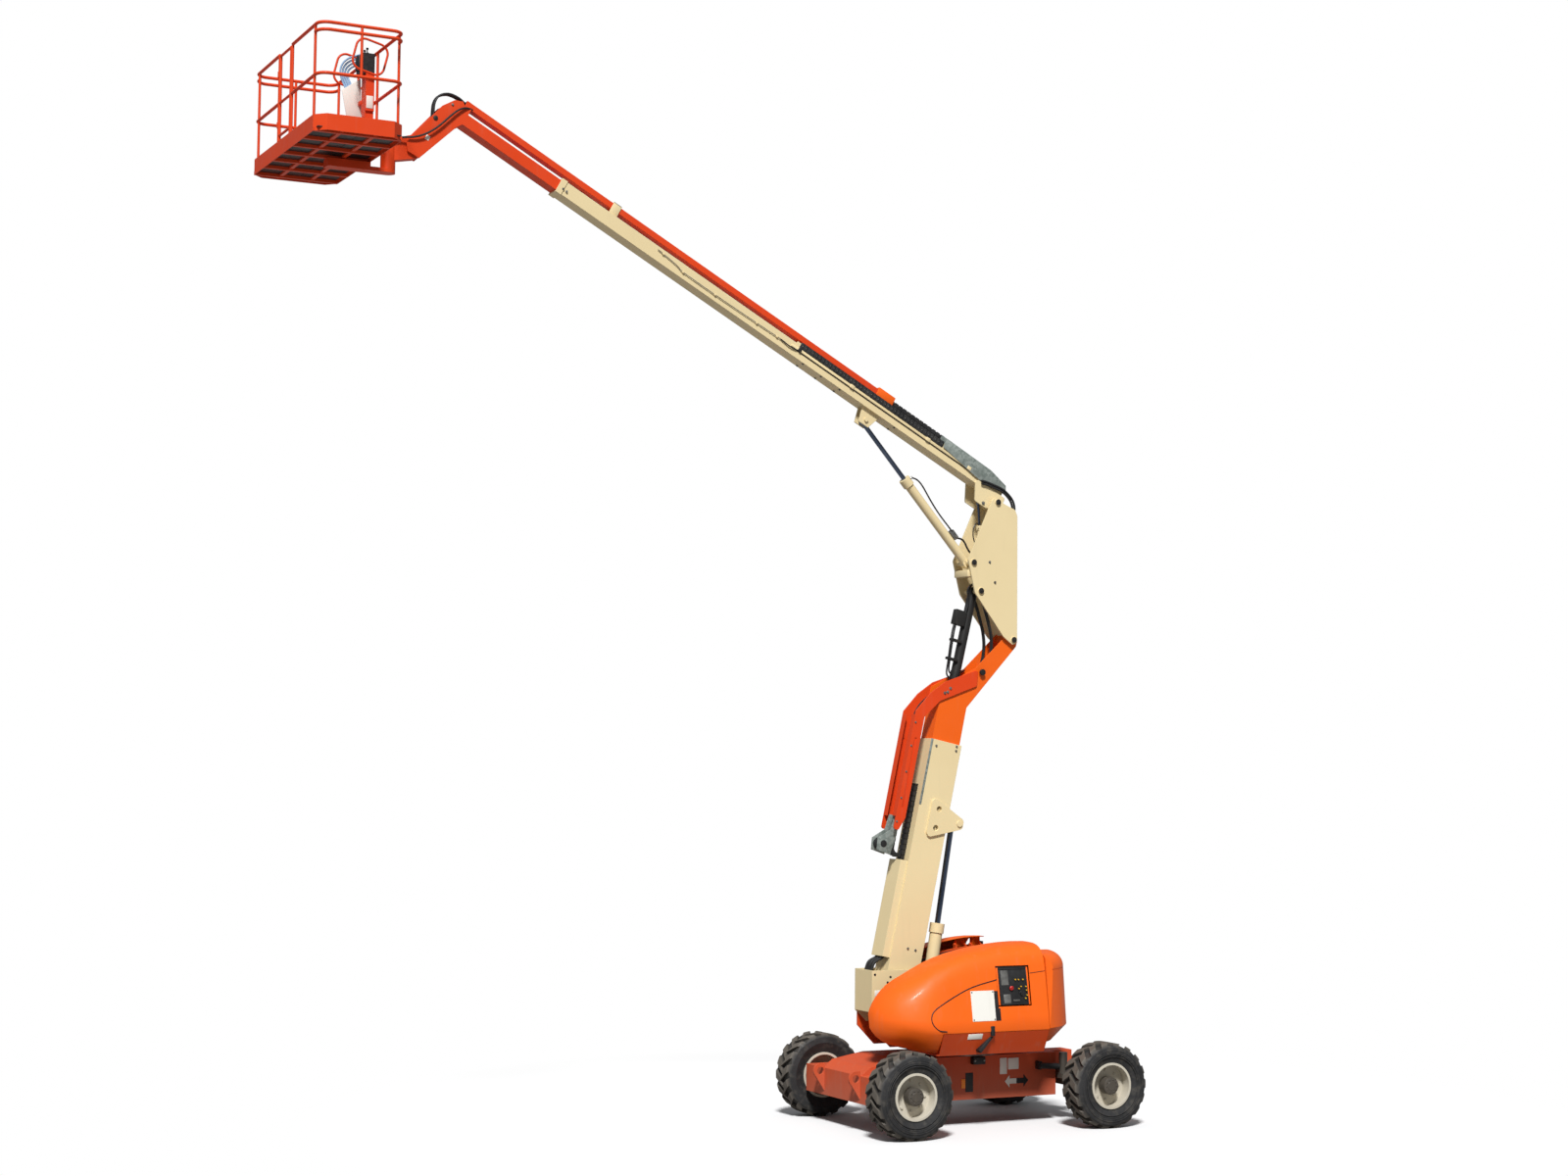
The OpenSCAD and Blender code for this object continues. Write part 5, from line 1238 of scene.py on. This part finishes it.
@dataclass
class Upright:
    """Pin ends, hoses and lines round the upright and its cylinders."""

    pin_foot: float = 0.191
    plate_side: float = 0.18
    band_side: float = 0.138

    def pins(self) -> None:
        """Makes the dark pin ends, the box and the bright small bolts."""
        with Forge("upright_pins", Finish.BLACK, "upright", signs=BOTH) as forge:
            for x, z in ((0.3842, 7.0552), (0.064, 6.348), (0.16, 6.023), (0.6022, 5.4732)):
                forge.pin((x, z, self.pin_foot), OUT, 0.034, 0.01)
        with Forge("upright_box", Finish.TAN, "upright") as forge:
            forge.box((0.0, 6.185, -0.15), (0.125, 6.262, 0.15), 0.006)
        with Forge("upright_bolts", Finish.STEEL, "upright", signs=BOTH) as forge:
            for x, z in ((0.278, 6.358), (0.349, 6.127)):
                forge.bolt((x, z, self.plate_side), OUT, 0.012)

    def band(self) -> None:
        """Makes the hoses that turn from the boom down into the upright."""
        for name, sign in SIDES:
            y = sign * self.band_side
            for k, lift in enumerate((0.0, 0.03)):
                route = [(0.192, y, 7.268 + lift), (0.26, y, 7.256 + lift), (0.33, y, 7.235 + lift),
                         (0.475 + lift * 0.5, y, 7.18 + lift * 0.8),
                         (0.58 + lift, y, 7.08 + lift * 0.3), (0.605 + lift, y, 6.96),
                         (0.57 + lift, y * 0.9, 6.83), (0.51 + lift, y * 0.8, 6.71)]
                Hose(f"turn_hose_{name}_{k}", route, "boom", 0.026, other="upright",
                     start=(0.25, y, 7.26), end=(0.58, y, 6.86)).build()

    def main_lift(self) -> None:
        """Makes the main cylinder's hose, valve block and feed hoses."""
        body = "main_lift_barrel"
        line = Lines.MAIN_LIFT.value
        route = [line.at(u, n, -0.045) for u, n in (
            (1.205, 0.06), (1.19, 0.1), (1.1, 0.122), (0.98, 0.108), (0.86, 0.09), (0.7, 0.075),
            (0.58, 0.074), (0.47, 0.078), (0.4, 0.078))]
        Hose("main_lift_hose", route, body, 0.018, ease=10).build()
        with Forge("main_lift_block", Finish.STEEL, body, Lines.MAIN_LIFT) as forge:
            forge.box((0.3, 0.045, -0.05), (0.415, 0.105, 0.03), 0.004)
            forge.rod((1.205, 0.045, -0.045), (1.205, 0.078, -0.045), 0.013, edge=0.002, sides=6)
            forge.rod((0.33, 0.075, -0.05), (0.33, 0.075, -0.066), 0.014, edge=0.002, sides=6)
            forge.rod((0.385, 0.1, -0.01), (0.385, 0.118, -0.01), 0.014, edge=0.002, sides=6)
        for k, y in enumerate((-0.03, 0.01)):
            shift = k * 0.02
            port = line.at(0.315, 0.07, y)
            route = [port, port + Vector((0.055, 0, 0.004)), (0.02 + shift, y, 6.628),
                     (0.052 + shift, y, 6.545), (0.096 + shift, y * 1.2, 6.47),
                     (0.205 + shift, y * 1.4, 6.405)]
            Hose(f"feed_hose_{k}", route, body, 0.017, other="upright", start=(-0.02, y, 6.64),
                 end=(0.13, y, 6.45), points=24, ease=16).build()

    def master(self) -> None:
        """Makes the hose loop beside the master cylinder."""
        route = ((0.205, -0.05, 6.79), (0.186, -0.08, 6.828), (0.138, -0.1, 6.822),
                 (0.104, -0.106, 6.765), (0.092, -0.108, 6.7), (0.098, -0.106, 6.622),
                 (0.134, -0.1, 6.556), (0.184, -0.08, 6.52), (0.226, -0.05, 6.496))
        Hose("master_hose", route, "platform_level_barrel", 0.013, ease=22).build()

    def level(self) -> None:
        """Makes the level cylinder's block, pipes and two hoses."""
        body = "upright_level_barrel"
        with Forge("level_lines", Finish.HOSE, body, Lines.LEVEL) as forge:
            forge.pipe([(0.4, 0.178, -0.05), (0.55, 0.184, -0.055), (0.86, 0.16, -0.055),
                        (1.02, 0.14, -0.055), (1.055, 0.06, -0.05)], 0.01)
            forge.pipe([(0.4, 0.14, -0.02), (0.55, 0.144, -0.025), (0.86, 0.122, -0.025),
                        (0.97, 0.105, -0.025), (1.005, 0.05, -0.02)], 0.01)
        with Forge("level_block", Finish.BLACK, body, Lines.LEVEL) as forge:
            forge.box((0.26, 0.05, -0.07), (0.435, 0.195, 0.01), 0.006)
            for u in (0.6, 0.82):
                forge.box((u, 0.04, -0.07), (u + 0.03, 0.18, -0.01), 0.004)
        for k, y in enumerate((-0.066, -0.044)):
            port = Lines.LEVEL.value.at(0.285, 0.072, y)
            route = [port, port + Vector((0.012, 0, 0.05)), port + Vector((0.045, 0, 0.12)),
                     (0.045 + k * 0.03, y, 6.055), (0.1 + k * 0.03, y, 6.105),
                     (0.19 + k * 0.02, y, 6.12)]
            Hose(f"level_hose_{k}", route, body, 0.018, other="upright", start=(-0.03, y, 5.92),
                 end=(0.11, y, 6.1), points=24, ease=11).build()

    def foot(self) -> None:
        """Makes the hoses from the crank up into the upright."""
        for k, y in enumerate((-0.097, -0.07, 0.07, 0.097)):
            route = [(x, y, z) for x, z in (
                (0.33, 5.2), (0.352, 5.3), (0.362, 5.43), (0.345, 5.57), (0.305, 5.715),
                (0.262, 5.85), (0.21, 5.985))]
            Hose(f"foot_hose_{k}", route, "tower_fly", 0.024, other="upright",
                 start=(0.358, y, 5.36), end=(0.29, y, 5.78)).build()

    def build(self) -> None:
        """Makes everything round the upright."""
        self.pins()
        self.band()
        self.main_lift()
        self.master()
        self.level()
        self.foot()


@dataclass
class Boom:
    """Lines, clips, bolts, side chains and hoses of the main boom."""

    side: float = 0.1
    links: int = 42
    pitch: float = 0.05
    line: Sequence[Point] = ((3.237, 0.146, -0.112), (3.585, 0.139, -0.112), (4.163, 0.131, -0.112),
                             (4.606, 0.134, -0.112), (4.712, 0.158, -0.112), (4.977, 0.184, -0.11))
    clips: Outline = ((3.3, 0.145), (3.585, 0.139), (4.163, 0.131), (4.606, 0.134), (4.9, 0.177))
    guard: Outline = ((0.902, 0.196), (0.902, 0.31), (0.227, 0.301), (-0.028, 0.248),
                      (-0.069, 0.173), (0.316, 0.12))

    def build(self) -> None:
        """Makes the boom's fittings."""
        with Forge("boom_line", Finish.STEEL, "boom", Lines.BOOM) as forge:
            forge.pipe(self.line, 0.0045)
            for sign in BOTH:
                for u, n in ((6.218, 0.131), (6.171, 0.129)):
                    forge.bolt((u, n, sign * 0.108), (0, 0, sign), 0.01)
                forge.bolt((0.133, -0.087, sign * 0.118), (0, 0, sign), 0.016)
        with Forge("boom_clips", Finish.TAN, "boom", Lines.BOOM) as forge:
            for u, n in self.clips:
                low, high = (u - 0.012, n - 0.01, -0.119), (u + 0.012, n + 0.01, 0.002 - self.side)
                forge.box(low, high, 0.002)
        route = Lines.BOOM.value.route((
            (3.245, 0.145, -0.112), (3.2, 0.142, -0.114), (3.13, 0.136, -0.116),
            (3.06, 0.141, -0.114), (2.985, 0.165, -0.108), (2.93, 0.2, -0.098)))
        Hose("boom_line_hose", route, "boom", 0.014, points=20).build()
        for name, sign in SIDES:
            self.flank(name, (sign,))
        self.tube()

    def flank(self, name: str, signs: Signs) -> None:
        """Makes the chain, rail and guard along one side of the boom.

        Args:
            name: Name of that side.
            signs: Its sign.
        """
        with Forge(f"flank_chain_{name}", Finish.CHAIN, "boom", Lines.BOOM, signs) as forge:
            for k in range(self.links):
                u = 0.905 + k * self.pitch
                forge.box((u, 0.188, 0.0985), (u + 0.046, 0.264, 0.1085), 0.003)
            forge.box((0.905, 0.196, 0.0985), (3.005, 0.256, 0.105), 0.002)
            forge.pipe([(0.3, 0.146, 0.103), (3.1, 0.146, 0.103)], 0.005, False)
            forge.rod((2.99, 0.169, 0.1), (2.99, 0.169, 0.128), 0.022, edge=0.003)
        with Forge(f"flank_links_{name}", Finish.STEEL, "boom", Lines.BOOM, signs) as forge:
            for k in range(self.links):
                u = 0.928 + k * self.pitch
                forge.rod((u, 0.226, 0.108), (u, 0.226, 0.1105), 0.006, sides=10)
            for u in (2.866, 2.605, 2.334, 1.532):
                forge.bolt((u, 0.07, 0.07), (0, -1, 0), 0.011)
        with Forge(f"flank_rail_{name}", Finish.TAN, "boom", Lines.BOOM, signs) as forge:
            forge.box((0.3, 0.152, 0.098), (3.1, 0.182, 0.116), 0.003)
            for u in (2.23, 1.11, 0.49):
                forge.box((u - 0.028, 0.146, 0.11), (u + 0.028, 0.188, 0.124), 0.003)
        with Forge(f"flank_guard_{name}", Finish.GALVANISED, "boom", Lines.BOOM, signs) as forge:
            forge.plate(self.guard, 0.1185, 0.1225, 0.001)

    def tube(self) -> None:
        """Makes the push tube's tail clamp and its guide."""
        with Forge("tube_clamp", Finish.ORANGE, "boom_fly", Lines.BOOM) as forge:
            forge.box((1.67, 0.272, -0.0625), (1.91, 0.378, 0.0625), 0.008)
        with Forge("tube_guide", Finish.TAN, "boom", Lines.BOOM) as forge:
            for low, high in ((-0.0645, -0.0585), (0.0585, 0.0645)):
                forge.box((5.544, 0.215, low), (5.648, 0.366, high), 0.002)
            forge.box((5.544, 0.357, -0.0645), (5.648, 0.366, 0.0645), 0.002)


@dataclass
class Nose:
    """Hoses, pin ends and blank plates at the boom's nose."""

    side: float = 0.09

    def build(self) -> None:
        """Makes the nose's fittings."""
        line = Lines.BOOM.value
        for k, y in enumerate((-0.029, 0.0, 0.029)):
            route = line.route(((7.47, 0.318, y * 0.7), (7.56, 0.32, y * 0.8), (7.66, 0.328, y),
                                (7.765, 0.302, y), (7.838, 0.228, y), (7.846, 0.14, y),
                                (7.812, 0.05, y), (7.766, -0.036, y)))
            Hose(f"nose_hose_{k}", route, "boom_fly", 0.024).build()
        route = line.route(((7.47, 0.29, -0.07), (7.56, 0.262, -0.11), (7.62, 0.16, -0.122),
                            (7.66, 0.03, -0.124), (7.7, -0.1, -0.124), (7.76, -0.23, -0.124),
                            (7.835, -0.33, -0.122), (7.91, -0.392, -0.114),
                            (7.985, -0.424, -0.102)))
        route += [Vector((-6.89, -0.09, 10.495)), Vector((-6.918, -0.072, 10.425))]
        Hose("support_hose", route, "boom_fly", 0.022, other="platform_support",
             start=line.at(7.72, -0.16, -0.12), end=line.at(7.95, -0.41, -0.11), points=36,
             ease=10).build()
        with Forge("nose_pins", Finish.BLACK, "boom_fly", Lines.BOOM, BOTH) as forge:
            forge.pin((7.767, -0.029, self.side), OUT, 0.026, 0.008)
        with Forge("nose_bolts", Finish.STEEL, "boom_fly", Lines.BOOM, BOTH) as forge:
            forge.bolt((7.682, 0.204, self.side), OUT, 0.011)
        with Forge("nose_plates", Finish.PLATE, "boom_fly", Lines.BOOM, BOTH) as forge:
            low, high = (7.712, -0.288, self.side - 0.002), (7.758, -0.236, self.side + 0.002)
            forge.box(low, high, 0.001)


@dataclass
class Platform:
    """Blank board, black sheets of painted shade under the floor, levers and blue hoses of the work
    platform.
    """

    board: Outline = ((-7.452, 10.93), (-7.255, 11.07), (-7.239, 10.661), (-7.397, 10.65))
    lever: Outline = ((0, 0.0), (0.02, 0.0), (0.016, 0.012), (0.006, 0.016), (0.006, 0.04),
                      (0.013, 0.046), (0.013, 0.062), (0, 0.066))

    def hoses(self) -> None:
        """Makes the blue hoses as nested loops beside the console."""
        for k in range(4):
            r = 0.186 - k * 0.031
            y = 0.02 + k * 0.02
            loop = [(-7.275 + r * math.cos(turn), y, 11.135 + r * math.sin(turn))
                    for turn in (1.9, 2.4, 2.9, 3.4)]
            route = [(-7.235, -0.12, 11.14 + r), (-7.262, y * 0.4, 11.14 + r), *loop,
                     (-7.262 - r * 0.86, 0.0, 11.02), (-7.29 - r * 0.6, -0.03, 10.95)]
            Hose(f"console_hose_{k}", route, "platform", 0.021, Finish.BLUE, ease=16).build()

    def build(self) -> None:
        """Makes the platform's fittings."""
        with Forge("platform_board", Finish.PLATE, "platform") as forge:
            forge.plate(self.board, -0.056, -0.048, 0.001)
            forge.box((-7.262, 10.71, -0.288), (-7.19, 10.84, -0.283), 0.001)
        with Forge("platform_bracket", Finish.ORANGE_DEEP, "platform") as forge:
            forge.box((-7.28, 10.78, -0.14), (-7.232, 10.82, -0.054), 0.003)
        # Black sheets under the floor: painted shade between the lit ribs beneath it.
        with Forge("platform_underside_shade", Finish.BLACK, "platform") as forge:
            for x0, x1 in ((-8.02, -7.56), (-7.555, -7.165)):
                forge.box((x0, 10.238, -1.165), (x1, 10.247, 1.165), 0.001)
        with Forge("console_levers", Finish.PLASTIC, "platform") as forge:
            for y in (-0.255, -0.165):
                forge.turned(self.lever, (-7.252, 11.282, y), (0, 1, 0), 20)
            forge.box((-7.346, 11.11, -0.27), (-7.326, 11.25, -0.15), 0.006)
        self.hoses()


def main() -> None:
    """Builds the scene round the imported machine."""
    logging.basicConfig(level=logging.INFO, format="%(name)s %(message)s")
    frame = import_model()
    Studio().build()
    Solids(frame["nodes"]).dress()
    for assembly in (Tower(), Upright(), Boom(), Nose(), Platform(), Hoods(frame["nodes"]),
                     GroundControls(), Chassis(), Wheels()):
        assembly.build()


if __name__ == "__main__":
    main()
